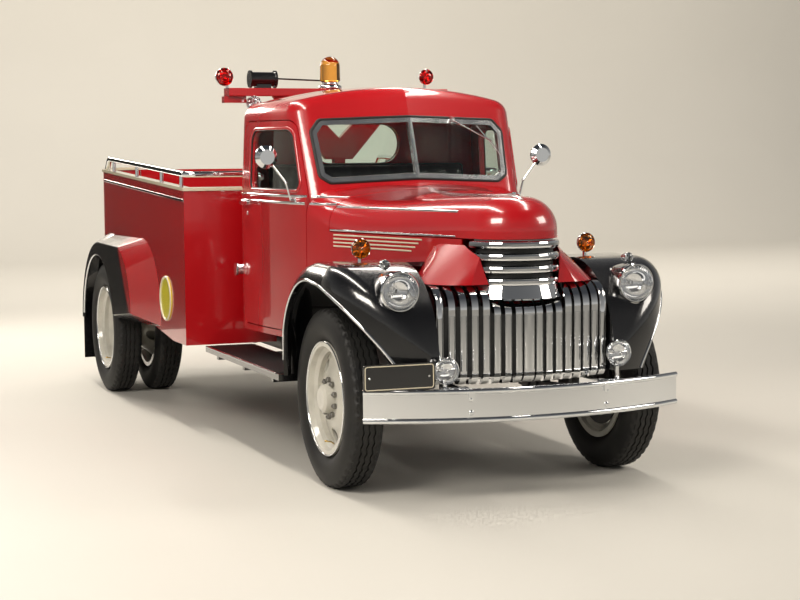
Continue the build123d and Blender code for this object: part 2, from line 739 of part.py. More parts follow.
# Doors: the same shell inside the door outline, with the glass, the handle and the mirror
MIRROR_R = 64
for side, label in SIDES:
    with BuildPart() as door:
        add(cab_shell.part)
        add(side_cut(door_outline(0), side), mode=Mode.INTERSECT)
        add(side_cut(window_outline(0), side), mode=Mode.SUBTRACT)
    save(door, f"door_{label}")
    with BuildPart() as door_glass:
        add(glass_skin.part)
        add(side_cut(window_outline(0), side), mode=Mode.INTERSECT)
    save(door_glass, f"door_glass_{label}")
    with BuildPart() as fittings:
        foot = (1080, side * 668, 1425)
        elbow = (1080, side * 722, 1520)
        head = (1082, side * 835, 1664)
        add(tube(foot, (1080, side * 700, 1425), 11))
        add(tube((1080, side * 696, 1425), elbow, 6))
        add(tube(elbow, head, 6))
        with Locations(elbow):
            Sphere(9)
        with BuildSketch(Plane(origin=head, z_dir=(-1, 0, 0))):
            Circle(MIRROR_R)
        extrude(amount=12)
        with BuildSketch(Plane(origin=head, z_dir=(1, 0, 0))):
            Circle(MIRROR_R)
        extrude(amount=20, taper=48)
        add(tube((410, side * 744, 1398), (410, side * 788, 1398), 16))
        with BuildSketch(Plane.XZ.offset(-side * 778)):
            with Locations((465, 1396)):
                SlotOverall(150, 20)
        extrude(amount=-side * 14)
        add(door.part, mode=Mode.SUBTRACT)
    save(fittings, f"door_fittings_{label}")


def slab(form, low, high):
    """The stretch of a form between two heights."""
    with BuildPart() as cut:
        add(form)
        with BuildSketch(Plane.XY.offset(low)):
            Rectangle(8000, 4000)
        extrude(amount=high - low, mode=Mode.INTERSECT)
    return cut.part


# Hood lid: the whole nose and crown above the split line, hinged at the cowl
hood_outer = hood_form(0)
with BuildPart() as hood_shell:
    add(hood_outer)
    add(hood_form(HOOD_WALL), mode=Mode.SUBTRACT)
with BuildPart() as hood:
    add(slab(hood_shell.part, HOOD_SPLIT_Z, 1700))
    with BuildSketch(Plane.YZ.offset(COWL_X + HOOD_GAP)):
        Rectangle(4000, 6000)
    extrude(amount=-1000, mode=Mode.SUBTRACT)
save(hood, "hood")

# Fixed hood sides below the split, and the red shoulders that fall to the grille
SIDE_LOW = 1080
SHOULDER_TOP = 1232
SHOULDER_LOW = 1046
with BuildPart() as shoulder_form:
    with BuildSketch(Plane.XY.offset(SHOULDER_LOW)):
        with BuildLine():
            Line((2240, 0), (2240, 430))
            ThreePointArc((2240, 430), (2490, 438), (2622, 280))
            Polyline((2622, 280), (2622, 0), (2240, 0))
        make_face()
        mirror(about=Plane.XZ)
    with BuildSketch(Plane.XY.offset(SHOULDER_TOP)):
        with BuildLine():
            Line((2240, 0), (2240, 306))
            ThreePointArc((2240, 306), (2424, 264), (2560, 190))
            Polyline((2560, 190), (2560, 0), (2240, 0))
        make_face()
        mirror(about=Plane.XZ)
    loft(ruled=True)
with BuildPart() as hood_sides:
    add(slab(hood_shell.part, SIDE_LOW, HOOD_SPLIT_Z - HOOD_GAP))
    with BuildSketch(Plane.XY.offset(1000)):
        with Locations((COWL_X, 0)):
            Rectangle(NOSE_X - 20 - COWL_X, 2000, align=(Align.MIN, Align.CENTER))
    extrude(amount=400, mode=Mode.INTERSECT)
    add(shoulder_form.part)
    with BuildSketch(Plane.XY.offset(SHOULDER_LOW - 10)):
        add(plan_outline(HOOD_WALL))
    extrude(amount=300, mode=Mode.SUBTRACT)
    # Room for the bright nose bars
    with BuildSketch(Plane.XY.offset(SHOULDER_LOW - 10)):
        with Locations((NOSE_X, 0)):
            Circle(NOSE_R + 12)
    extrude(amount=300, mode=Mode.SUBTRACT)
save(hood_sides, "hood_sides")

# Upper grille: four bright bars wrapped round the nose, on a recessed band, with a prow plate below
UPPER_BARS = (1237, 1177, 1117, 1057)
BAR_SWEEP = 158
with BuildPart() as upper_grille:
    with BuildSketch(Plane.XZ):
        with Locations((NOSE_X + NOSE_R - 26, 1150)):
            Rectangle(10, 222)
        for z in UPPER_BARS:
            with Locations((NOSE_X + NOSE_R - 6, z)):
                Polygon((-16, -20), (4, -20), (13, -14), (16, -6), (16, 6), (13, 14), (4, 20), (-16, 20),
                        align=None)
        with BuildLine():
            Polyline((NOSE_X + NOSE_R - 31, 1040), (NOSE_X + NOSE_R + 8, 1040), (NOSE_X + NOSE_R + 30, 978),
                     (NOSE_X + NOSE_R + 16, 970), (NOSE_X + NOSE_R - 31, 1012), (NOSE_X + NOSE_R - 31, 1040))
        make_face()
    revolve(axis=Axis((NOSE_X, 0, 0), (0, 0, 1)), revolution_arc=BAR_SWEEP / 2)
    mirror(about=Plane.XZ)
save(upper_grille, "upper_grille")

# Lower grille: upright bars on a curved plan, their heads bent back over the radiator
BAR_PITCH = 2 * GRILLE_HALF_W / (GRILLE_BARS - 1)
BAR_DEPTH = 24
BAR_LOW = 562
BAR_FOOT_R = 60


def grille_bar(face_x, y, wide, head, top):
    """One bar: a strip with a bent head and foot."""
    with BuildPart() as bar:
        with BuildSketch(Plane.XZ.offset(-y - wide / 2)):
            for grow, mode in ((0, Mode.ADD), (BAR_DEPTH, Mode.SUBTRACT)):
                bend = head - grow
                foot = BAR_FOOT_R - grow
                face = face_x - grow
                back_x = face_x - head - 5
                foot_x = face_x - BAR_FOOT_R - 20
                with BuildLine():
                    ThreePointArc((face_x - head, top - grow),
                                  (face - bend * 0.293, top - grow - bend * 0.293), (face, top - head))
                    Line((face, top - head), (face, BAR_LOW + BAR_FOOT_R))
                    ThreePointArc((face, BAR_LOW + BAR_FOOT_R),
                                  (face - foot * 0.293, BAR_LOW + grow + foot * 0.293),
                                  (face_x - BAR_FOOT_R, BAR_LOW + grow))
                    Polyline((face_x - BAR_FOOT_R, BAR_LOW + grow), (foot_x, BAR_LOW + grow),
                             (foot_x, top - 200), (back_x, top - 200), (back_x, top - grow),
                             (face_x - head, top - grow))
                make_face(mode=mode)
        extrude(amount=wide)
    return bar.part


with BuildPart() as lower_grille:
    for i in range(GRILLE_BARS):
        y = (i - (GRILLE_BARS - 1) / 2) * BAR_PITCH
        face_x = GRILLE_X - GRILLE_PLAN_R + sqrt(GRILLE_PLAN_R ** 2 - y ** 2)
        wide = 56 if abs(y) < 1 else 34
        head = 112 if abs(y) > 200 else 60
        top = 1042 if abs(y) > 200 else 966
        add(grille_bar(face_x, y, wide, head, top))
    for z in (640, 755, 870):
        back = GRILLE_X - BAR_DEPTH + 4
        with BuildSketch(Plane.XY.offset(z)):
            with BuildLine():
                ThreePointArc((back - 79, -GRILLE_HALF_W - 14), (back, 0), (back - 79, GRILLE_HALF_W + 14))
                Line((back - 79, GRILLE_HALF_W + 14), (back - 95, GRILLE_HALF_W + 14))
                ThreePointArc((back - 95, GRILLE_HALF_W + 14), (back - 16, 0), (back - 95, -GRILLE_HALF_W - 14))
                Line((back - 95, -GRILLE_HALF_W - 14), (back - 79, -GRILLE_HALF_W - 14))
            make_face()
        extrude(amount=22)
    # The heads of the outer bars end at the prow plate
    with BuildSketch(Plane.XY.offset(966)):
        with Locations((NOSE_X, 0)):
            Circle(NOSE_R + 34)
    extrude(amount=200, mode=Mode.SUBTRACT)
    # Feet to the ends of the frame rails
    for side, _ in SIDES:
        low_y, high_y = sorted((side * 340, side * 372))
        add(box_between((RAIL_FRONT_X, low_y, 590), (2620, high_y, 604)))
save(lower_grille, "lower_grille")


# Front fenders: a side profile over the wheel, rounded in plan and over its outer edge
def fender_form(inset):
    """The left front fender as a solid, moved inwards by inset."""
    rear = FENDER_REAR_X + inset
    front = FENDER_FRONT_X - inset
    top = FENDER_TOP - inset
    rear_r = 500 - inset
    nose_r = 470 - inset
    outer = FENDER_Y - inset
    plan_r = 450 - inset
    corner_r = 130 - inset
    with BuildPart() as form:
        with BuildSketch(Plane.XZ):
            with BuildLine():
                Line((rear, 400), (rear, top - rear_r))
                ThreePointArc((rear, top - rear_r), (rear + rear_r * 0.293, top - rear_r * 0.293),
                              (rear + rear_r, top))
                Line((rear + rear_r, top), (front - nose_r, top))
                ThreePointArc((front - nose_r, top), (front - nose_r * 0.293, top - nose_r * 0.293),
                              (front, top - nose_r))
                Polyline((front, top - nose_r), (front, 400), (rear, 400))
            make_face()
        extrude(amount=-1000)
        with BuildSketch(Plane.XY.offset(300)):
            with BuildLine():
                Polyline((rear, 100), (rear, outer - corner_r))
                ThreePointArc((rear, outer - corner_r), (rear + corner_r * 0.293, outer - corner_r * 0.293),
                              (rear + corner_r, outer))
                Line((rear + corner_r, outer), (front - plan_r, outer))
                ThreePointArc((front - plan_r, outer), (front - plan_r * 0.293, outer - plan_r * 0.293),
                              (front, outer - plan_r))
                Polyline((front, outer - plan_r), (front, 100), (rear, 100))
            make_face()
        extrude(amount=1200, mode=Mode.INTERSECT)
        edges = [e for e in form.edges() if e.center().Z > 500 and e.center().Y > 450
                 and e.geom_type != GeomType.LINE or (e.center().Y > outer - 1 and e.center().Z > top - 1)]
        fillet(edges, 105 - inset)
    return form.part



def wheel_arch(x, outline, near_y, far_y):
    """A wheel opening seen from the side, run outwards; outline rows are (x, z) from the axle."""
    (rear, rear_mid, top, front_mid, front) = [(x + dx, z) for dx, z in outline]
    with BuildPart() as arch:
        with BuildSketch(Plane.XZ.offset(-near_y)):
            with BuildLine():
                ThreePointArc(rear, rear_mid, top)
                ThreePointArc(top, front_mid, front)
                Polyline(front, (front[0], 100), (rear[0], 100), rear)
            make_face()
        extrude(amount=near_y - far_y)
    return arch.part


FRONT_ARCH = ((-440, 600), (-318, 925), (50, 1036), (405, 912), (590, 600))
POD_AXIS = Axis((0, HEADLAMP_Y, HEADLAMP_Z), (1, 0, 0))
fender_outer = fender_form(0)
fender_inner = fender_form(FENDER_SKIN)
with BuildPart() as fender_apron:
    add(fender_outer)
    with BuildSketch(Plane.XZ.offset(-APRON_Y)):
        with BuildLine():
            Polyline((1500, APRON_LOW), (2560, APRON_LOW), (2560, FENDER_LOW), (2700, FENDER_LOW),
                     (2700, 1200), (1500, 1200), (1500, APRON_LOW))
        make_face()
    extrude(amount=-APRON_T, mode=Mode.INTERSECT)
with BuildPart() as lamp_pod:
    with BuildSketch(Plane.XZ.offset(-HEADLAMP_Y)):
        with BuildLine():
            Polyline((2275, HEADLAMP_Z), (2578, HEADLAMP_Z), (2578, HEADLAMP_Z + 99))
            EllipticalCenterArc((2578, HEADLAMP_Z), 303, 99, 90, arc_size=90)
        make_face()
    revolve(axis=POD_AXIS)
with BuildPart() as pod_cavity:
    with BuildSketch(Plane.XZ.offset(-HEADLAMP_Y)):
        with BuildLine():
            Polyline((2500, HEADLAMP_Z), (2600, HEADLAMP_Z), (2600, HEADLAMP_Z + 91),
                     (2578, HEADLAMP_Z + 91))
            EllipticalCenterArc((2578, HEADLAMP_Z), 78, 91, 90, arc_size=90)
        make_face()
    revolve(axis=POD_AXIS)
with BuildPart() as left_fender:
    add(fender_outer)
    add(fender_inner, mode=Mode.SUBTRACT)
    add(fender_apron.part)
    add(wheel_arch(FRONT_AXLE_X, FRONT_ARCH, 500, 1000), mode=Mode.SUBTRACT)
    add(box_between((1400, 0, 0), (2100, 1000, BOARD_TOP)), mode=Mode.SUBTRACT)
    add(box_between((2100, 0, 0), (2800, 1000, FENDER_LOW)), mode=Mode.SUBTRACT)
    add(box_between((1400, 0, 0), (2800, APRON_Y, FENDER_TOP - 60)), mode=Mode.SUBTRACT)
    add(box_between((2235, 0, 0), (2800, APRON_Y, 1300)), mode=Mode.SUBTRACT)
    add(hood_outer, mode=Mode.SUBTRACT)
    add(lamp_pod.part)
    add(pod_cavity.part, mode=Mode.SUBTRACT)
    with BuildSketch(Plane.YZ.offset(2578)):
        with Locations((HEADLAMP_Y, HEADLAMP_Z)):
            Circle(HEADLAMP_R + 6)
    extrude(amount=130, mode=Mode.SUBTRACT)
with BuildPart() as front_fenders:
    add(left_fender.part)
    mirror(about=Plane.XZ)
save(front_fenders, "front_fenders")

# Headlamps: a reflector bowl and bezel in each pod, with a domed lens
def bowl_arc(tip_x, rim_x, rim_r, axis_z):
    """The circular profile of a bowl that opens forward, from its rim to its tip on the axis."""
    rise = rim_x - tip_x
    radius = (rise**2 + rim_r**2) / (2 * rise)
    start = degrees(atan2(rim_r, rise - radius))
    return CenterArc((tip_x + radius, axis_z), radius, start, 180 - start)


with BuildPart() as headlamp_rims:
    with BuildSketch(Plane.XZ.offset(-HEADLAMP_Y)):
        with BuildLine():
            bowl_arc(2501, 2578.5, 90.5, HEADLAMP_Z)
            Polyline((2578.5, HEADLAMP_Z + 90.5), (2578.5, HEADLAMP_Z + 100), (2594, HEADLAMP_Z + 100),
                     (2602, HEADLAMP_Z + 95), (2602, HEADLAMP_Z + 90.5), (2582, HEADLAMP_Z + 87))
            bowl_arc(2508, 2582, 87, HEADLAMP_Z)
            Line((2508, HEADLAMP_Z), (2501, HEADLAMP_Z))
        make_face()
    revolve(axis=POD_AXIS)
    mirror(about=Plane.XZ)
save(headlamp_rims, "headlamp_rims")
with BuildPart() as headlamp_lenses:
    with BuildSketch(Plane.XZ.offset(-HEADLAMP_Y)):
        with BuildLine():
            EllipticalCenterArc((2598, HEADLAMP_Z), 24, 87.5, 0, arc_size=90)
            Line((2598, HEADLAMP_Z + 87.5), (2590, HEADLAMP_Z + 87.5))
            EllipticalCenterArc((2590, HEADLAMP_Z), 24, 87.5, 0, arc_size=90)
            Line((2614, HEADLAMP_Z), (2622, HEADLAMP_Z))
        make_face()
    revolve(axis=POD_AXIS)
    mirror(about=Plane.XZ)
save(headlamp_lenses, "headlamp_lenses")


def round_lamp(place, radius, depth, dome):
    """A round lamp facing forward: a shell tapering backwards and a domed front."""
    x, y, z = place
    with BuildPart() as lamp:
        with BuildSketch(Plane.XZ.offset(-y)):
            with BuildLine():
                Line((x - depth, z), (x + dome, z))
                EllipticalCenterArc((x, z), dome, radius * 0.93, 0, arc_size=90)
                Line((x, z + radius * 0.93), (x, z + radius))
                EllipticalCenterArc((x, z), depth, radius, 90, arc_size=90)
            make_face()
        revolve(axis=Axis((x, y, z), (1, 0, 0)))
    return lamp.part


# Small lamps on the fenders, pods, bumper and tail; columns: place, radius, depth, dome, foot height
STALK_LAMP = ((2046, 636, 1204), 52, 46, 16, FENDER_TOP)
PARK_LAMP = ((2462, 664, 1147), 25, 70, 14, 1130)
with BuildPart() as small_lamps:
    for place, radius, depth, dome, foot_z in (STALK_LAMP, PARK_LAMP):
        for side, _ in SIDES:
            x, y, z = place
            add(round_lamp((x, side * y, z), radius, depth, dome))
            add(tube((x - depth * 0.4, side * y, foot_z), (x - depth * 0.4, side * y, z), 11))
    # Fog lamps on stems from the bumper irons
    for side, z in ((-1, 652), (1, 695)):
        add(round_lamp((2745, side * 462, z), 66, 62, 20))
        add(tube((2722, side * 462, z - 43), (2722, side * 462, 565), 10))
        low_y, high_y = sorted((side * 345, side * 480))
        add(box_between((2700, low_y, RAIL_TOP - RAIL_H), (2745, high_y, RAIL_TOP - RAIL_H + 8)))
    # Tail lamps on the body's rear wall
    for side, _ in SIDES:
        with BuildSketch(Plane.YZ.offset(BODY_REAR_X)):
            with Locations((side * 690, 860)):
                Circle(46)
        extrude(amount=-28, taper=12)
save(small_lamps, "small_lamps")

# Bumper: one bar bent in plan, its face rolled over bright beads above and below
BUMPER_C = BUMPER_X - BUMPER_R
BUMPER_SWEEP = 27.2
with BuildPart() as bumper:
    with BuildSketch(Plane.XZ):
        with Locations((BUMPER_X - 13, (BUMPER_BOTTOM + BUMPER_TOP) / 2)):
            Rectangle(9, BUMPER_TOP - BUMPER_BOTTOM - 30)
        for z in (BUMPER_BOTTOM + 14, BUMPER_TOP - 14):
            with Locations((BUMPER_X - 14, z)):
                Circle(14)
    revolve(axis=Axis((BUMPER_C, 0, 0), (0, 0, 1)), revolution_arc=BUMPER_SWEEP)
    mirror(about=Plane.XZ)
    for side, _ in SIDES:
        with BuildSketch(Plane.XY.offset(BUMPER_TOP - 50)):
            with BuildLine():
                Polyline((RAIL_FRONT_X, side * 345), (2818, side * 345), (2808, side * 375),
                         (RAIL_FRONT_X, side * 375), (RAIL_FRONT_X, side * 345))
            make_face()
        extrude(amount=RAIL_TOP - RAIL_H - BUMPER_TOP + 50)
        low_y, high_y = sorted((side * 345, side * 375))
        add(box_between((RAIL_FRONT_X, low_y, BUMPER_TOP - 50), (RAIL_FRONT_X + 12, high_y, 590)))
save(bumper, "bumper")

# Bare number plate on two tabs from the bumper's upper bead
with BuildPart() as number_plate:
    with BuildSketch(Plane.YZ.offset(2748)):
        with Locations((-705, 636)):
            RectangleRounded(362, 128, 12)
    extrude(amount=6)
    for y, x in ((-760, 2668), (-640, 2712)):
        add(box_between((x, y - 10, BUMPER_TOP), (2748, y + 10, BUMPER_TOP + 20)))
save(number_plate, "number_plate")

# Running boards on arms from the frame
with BuildPart() as running_boards:
    for side, _ in SIDES:
        low_y, high_y = sorted((side * 620, side * 925))
        add(box_between((70, low_y, BOARD_TOP - 34), (FENDER_REAR_X + 35, high_y, BOARD_TOP)))
        for x in (250, 800, 1350):
            low_y, high_y = sorted((side * (RAIL_Y - 4 if x < 900 else RAIL_FRONT_Y - 4), side * 900))
            add(box_between((x - 20, low_y, BOARD_TOP - 64), (x + 20, high_y, BOARD_TOP - 34)))
            rail_y = RAIL_Y if x < 900 else RAIL_FRONT_Y
            low_y, high_y = sorted((side * rail_y, side * (rail_y + 12)))
            add(box_between((x - 20, low_y, BOARD_TOP - 64), (x + 20, high_y, RAIL_TOP - 40)))
save(running_boards, "running_boards")


# Hose body
def body_top(x):
    return BODY_TOP + (BODY_FRONT_X - x) * BODY_RAKE


def body_plan(inset):
    """The body seen from above, with round rear corners."""
    with BuildSketch() as plan:
        with BuildLine():
            half = BODY_HALF_W - inset
            rear = BODY_REAR_X + inset
            front = BODY_FRONT_X - inset
            corner = BODY_CORNER_R - inset
            Polyline((front, 0), (front, half), (rear + corner, half))
            ThreePointArc((rear + corner, half), (rear + corner * 0.293, half - corner * 0.293),
                          (rear, half - corner))
            Polyline((rear, half - corner), (rear, 0), (front, 0))
        make_face()
        mirror(about=Plane.XZ)
    return plan.sketch


def body_form(inset):
    """The body's outline run upwards and cut by the raked top and the stepped lower edge."""
    with BuildPart() as form:
        with BuildSketch(Plane.XY.offset(300)):
            add(body_plan(inset))
        extrude(amount=1500)
        with BuildSketch(Plane.XZ.offset(-1500)):
            with BuildLine():
                Polyline((200, BODY_BOTTOM), (-230, BODY_BOTTOM), (-1400, 652), (-2600, 652),
                         (-2600, body_top(-2600)), (200, body_top(200)), (200, BODY_BOTTOM))
            make_face()
        extrude(amount=3000, mode=Mode.INTERSECT)
    return form.part


REAR_ARCH = ((-REAR_ARCH_R, AXLE_Z + 30), (-REAR_ARCH_R * 0.72, AXLE_Z + REAR_ARCH_R * 0.70),
             (0, AXLE_Z + REAR_ARCH_R), (REAR_ARCH_R * 0.72, AXLE_Z + REAR_ARCH_R * 0.70),
             (REAR_ARCH_R, AXLE_Z + 30))
rear_arch = wheel_arch(REAR_AXLE_X, REAR_ARCH, 560, 1300)
body_outer = body_form(0)
with BuildPart() as body_walls:
    add(body_outer)
    with BuildSketch(Plane.XY.offset(300)):
        add(body_plan(BODY_WALL))
    extrude(amount=1500, mode=Mode.SUBTRACT)
    add(rear_arch, mode=Mode.SUBTRACT)
    add(rear_arch.mirror(Plane.XZ), mode=Mode.SUBTRACT)
    # The frame passes under the end walls
    add(box_between((-2600, -480, 300), (200, 480, RAIL_TOP + 2)), mode=Mode.SUBTRACT)
gate_hole = box_between((BODY_REAR_X - 10, -TAILGATE_HALF_W - 6, BED_FLOOR_Z),
                        (BODY_REAR_X + BODY_WALL + 10, TAILGATE_HALF_W + 6, 1700))
# Columns: label, low x and y, high x and y
BODY_PANELS = (("body_front_wall", (BODY_FRONT_X - BODY_WALL, -1200), (200, 1200)),
               ("body_rear_wall", (-2700, -1200), (BODY_REAR_X + BODY_CORNER_R, 1200)))
for label, low, high in BODY_PANELS:
    with BuildPart() as panel:
        add(body_walls.part)
        add(gate_hole, mode=Mode.SUBTRACT)
        add(box_between((*low, 0), (*high, 2000)), mode=Mode.INTERSECT)
    save(panel, label)

with BuildPart() as tailgate:
    add(body_walls.part)
    add(box_between((BODY_REAR_X - 1, -TAILGATE_HALF_W, BED_FLOOR_Z + 6),
                    (BODY_REAR_X + BODY_WALL + 1, TAILGATE_HALF_W, 1700)), mode=Mode.INTERSECT)
save(tailgate, "tailgate")

# Bed: planks on bearers and two long sills over the frame rails
PLANKS = 12
PLANK_GAP = 6
bed_half = BODY_HALF_W - BODY_WALL - 4
plank_w = (2 * bed_half - (PLANKS - 1) * PLANK_GAP) / PLANKS
bed_rear = BODY_REAR_X + BODY_WALL + 4
bed_front = BODY_FRONT_X - BODY_WALL - 4
with BuildPart() as bed_floor:
    for i in range(PLANKS):
        low = -bed_half + i * (plank_w + PLANK_GAP)
        edge = BODY_CORNER_R if i in (0, PLANKS - 1) else (60 if i in (1, PLANKS - 2) else 0)
        add(box_between((bed_rear + edge, low, BED_FLOOR_Z - 28), (bed_front, low + plank_w, BED_FLOOR_Z)))
    for i in range(7):
        x = bed_rear + 60 + i * (bed_front - bed_rear - 120) / 6
        reach = bed_half - 200 if i == 0 else bed_half
        add(box_between((x - 30, -reach, BED_FLOOR_Z - 88), (x + 30, reach, BED_FLOOR_Z - 28)))
    for side, _ in SIDES:
        low_y, high_y = sorted((side * (RAIL_Y - RAIL_FLANGE), side * RAIL_Y))
        add(box_between((bed_rear + 20, low_y, RAIL_TOP), (bed_front - 20, high_y, BED_FLOOR_Z - 88)))
save(bed_floor, "bed_floor")

# Capping on the walls, with the bright rail above it on posts
with BuildPart() as body_rails:
    with BuildSketch(Plane.XY.offset(1300)):
        add(body_plan(-8))
        add(body_plan(BODY_WALL + 12), mode=Mode.SUBTRACT)
    extrude(amount=500)
    with BuildSketch(Plane.XZ.offset(-1500)):
        with BuildLine():
            Polyline((200, body_top(200)), (-2700, body_top(-2700)), (-2700, body_top(-2700) + 18),
                     (200, body_top(200) + 18), (200, body_top(200)))
        make_face()
    extrude(amount=3000, mode=Mode.INTERSECT)
    add(box_between((BODY_REAR_X - 20, -TAILGATE_HALF_W - 6, 1300),
                    (BODY_REAR_X + 80, TAILGATE_HALF_W + 6, 1800)), mode=Mode.SUBTRACT)

RAIL_Y_TOP = BODY_HALF_W - 24
RAIL_X_FRONT = BODY_FRONT_X - 26
RAIL_X_REAR = BODY_REAR_X + BODY_CORNER_R + 10


def over_cap(x, y, rise):
    return (x, y, body_top(x) + 18 + rise)


with BuildPart() as rail_tube:
    with BuildLine() as run:
        FilletPolyline(over_cap(RAIL_X_REAR, RAIL_Y_TOP, 0), over_cap(RAIL_X_REAR + 75, RAIL_Y_TOP, RAIL_RISE),
                       over_cap(RAIL_X_FRONT, RAIL_Y_TOP, RAIL_RISE),
                       over_cap(RAIL_X_FRONT, -RAIL_Y_TOP, RAIL_RISE),
                       over_cap(RAIL_X_REAR + 75, -RAIL_Y_TOP, RAIL_RISE),
                       over_cap(RAIL_X_REAR, -RAIL_Y_TOP, 0), radius=60)
    with BuildSketch(Plane(origin=run.line @ 0, z_dir=run.line % 0)):
        Circle(RAIL_TUBE_R)
    sweep()
    # Columns: x, y of each post
    posts = [(x, side * RAIL_Y_TOP) for x in (-1960, -1250, -560, -60) for side, _ in SIDES]
    posts += [(RAIL_X_FRONT, y) for y in (-620, 0, 620)]
    for x, y in posts:
        add(tube(over_cap(x, y, -8), over_cap(x, y, RAIL_RISE), 12))
with BuildPart() as capping:
    add(body_rails.part)
    add(rail_tube.part)
save(capping, "body_rails")


# Rear fenders: a long low pontoon on each side of the body, round at both ends
def pontoon_outline(y, front, shoulder, top_front, top_rear, haunch, rear):
    with BuildSketch(Plane.XZ.offset(-y)) as outline:
        with BuildLine():
            ThreePointArc(front, shoulder, top_front)
            Line(top_front, top_rear)
            ThreePointArc(top_rear, haunch, rear)
            Line(rear, front)
        make_face()
    return outline.sketch


FOOTPRINT = ((-548, 590), (-640, 930), (-1080, 1124), (-1900, 1112), (-2430, 935), (-2600, 480))
CREST = ((-960, 640), (-1060, 905), (-1380, 1052), (-1960, 1056), (-2380, 900), (-2572, 480))


def pontoon(inset):
    foot = [(x - inset * (1 if x > -900 else -1 if x < -2300 else 0), z - inset * (z > 900))
            for x, z in FOOTPRINT]
    crest = [(x - inset * (1 if x > -1200 else -1 if x < -2300 else 0), z - inset * (z > 880))
             for x, z in CREST]
    with BuildPart() as form:
        add(pontoon_outline(BODY_HALF_W, *foot))
        add(pontoon_outline(REAR_FENDER_Y - inset, *crest))
        loft(ruled=True)
        if not inset:
            rim = [e for e in form.edges() if e.center().Y > REAR_FENDER_Y - 1 and e.center().Z > 600]
            fillet(rim, 18)
        with BuildSketch(Plane.XZ.offset(-800)):
            add(pontoon_outline(0, *foot))
        extrude(amount=800 - BODY_HALF_W)
    return form.part


# The pontoon is split where the black fender meets the red nose in front of it
SEAM = ((-1390, 1150), (-900, 500))
with BuildPart() as left_pontoon:
    add(pontoon(0))
    add(pontoon(20), mode=Mode.SUBTRACT)
    add(body_outer, mode=Mode.SUBTRACT)
    add(rear_arch, mode=Mode.SUBTRACT)
with BuildPart() as behind_seam:
    with BuildSketch(Plane.XZ.offset(-700)):
        with BuildLine():
            Polyline(SEAM[0], SEAM[1], (-900, 300), (-2800, 300), (-2800, 1300), (-1390, 1300), SEAM[0])
        make_face()
    extrude(amount=-600)
with BuildPart() as rear_fenders:
    add(left_pontoon.part)
    add(behind_seam.part, mode=Mode.INTERSECT)
    # Flap behind the tyres
    add(box_between((-2592, 640, 175), (-2586, 1140, 505)))
    mirror(about=Plane.XZ)
save(rear_fenders, "rear_fenders")
with BuildPart() as left_wall:
    add(body_walls.part)
    add(box_between((BODY_REAR_X + BODY_CORNER_R, 0, 0), (BODY_FRONT_X - BODY_WALL, 1200, 2000)),
        mode=Mode.INTERSECT)
with BuildPart() as body_sides:
    add(left_pontoon.part)
    add(behind_seam.part, mode=Mode.SUBTRACT)
    add(left_wall.part)
    mirror(about=Plane.XZ)
save(body_sides, "body_sides")

# Plain discs on the body sides
with BuildPart() as side_discs:
    for side, _ in SIDES:
        with BuildSketch(Plane.XZ.offset(-side * BODY_HALF_W)):
            with Locations((-390, 780)):
                Circle(142)
        extrude(amount=-side * 5)
save(side_discs, "side_discs")

# Tailboard on gussets from the frame
with BuildPart() as tailboard:
    with BuildSketch(Plane.XY.offset(440)):
        with Locations((-2726, 0)):
            RectangleRounded(248, 1800, 60)
    extrude(amount=30)
    for side, _ in SIDES:
        with BuildSketch(Plane.XZ.offset(-side * RAIL_Y)):
            with BuildLine():
                Polyline((-2440, 690), (-2440, 560), (-2590, 412), (-2640, 408), (-2820, 430), (-2820, 440),
                         (-2602, 440), (-2602, 470), (-2540, 580), (-2540, 690), (-2440, 690))
            make_face()
        extrude(amount=-side * 10)
    add(box_between((-2576, -RAIL_Y, 560), (-2561, RAIL_Y, 592)))
save(tailboard, "tailboard")

# Lamp rack: a post and two raking arms from the bed carry a plank across the vehicle
ARM_FOOT_Z = 1640
with BuildPart() as lamp_rack:
    with Locations((MAST_X, 0, BED_FLOOR_Z + 6)):
        Box(180, 240, 12)
    with Locations((MAST_X, 0, (BED_FLOOR_Z + 12 + ARM_FOOT_Z + 60) / 2)):
        Box(60, 70, ARM_FOOT_Z + 60 - BED_FLOOR_Z - 12)
    with BuildSketch(Plane.YZ.offset(MAST_X - 25)):
        with BuildLine():
            Polyline((0, ARM_FOOT_Z), (85, ARM_FOOT_Z), (425, RACK_Z), (260, RACK_Z), (0, ARM_FOOT_Z + 130),
                     (0, ARM_FOOT_Z))
        make_face()
        mirror(about=Plane.YZ)
    extrude(amount=50)
    with BuildSketch(Plane.XZ.offset(-RACK_HALF_W)):
        with Locations((MAST_X, RACK_Z + RACK_H / 2)):
            RectangleRounded(RACK_W, RACK_H, 6)
    extrude(amount=2 * RACK_HALF_W)
    add(box_between((MAST_X - 40, -740, RACK_Z - 40), (MAST_X + 20, -600, RACK_Z)))
save(lamp_rack, "lamp_rack")
RACK_TOP = RACK_Z + RACK_H
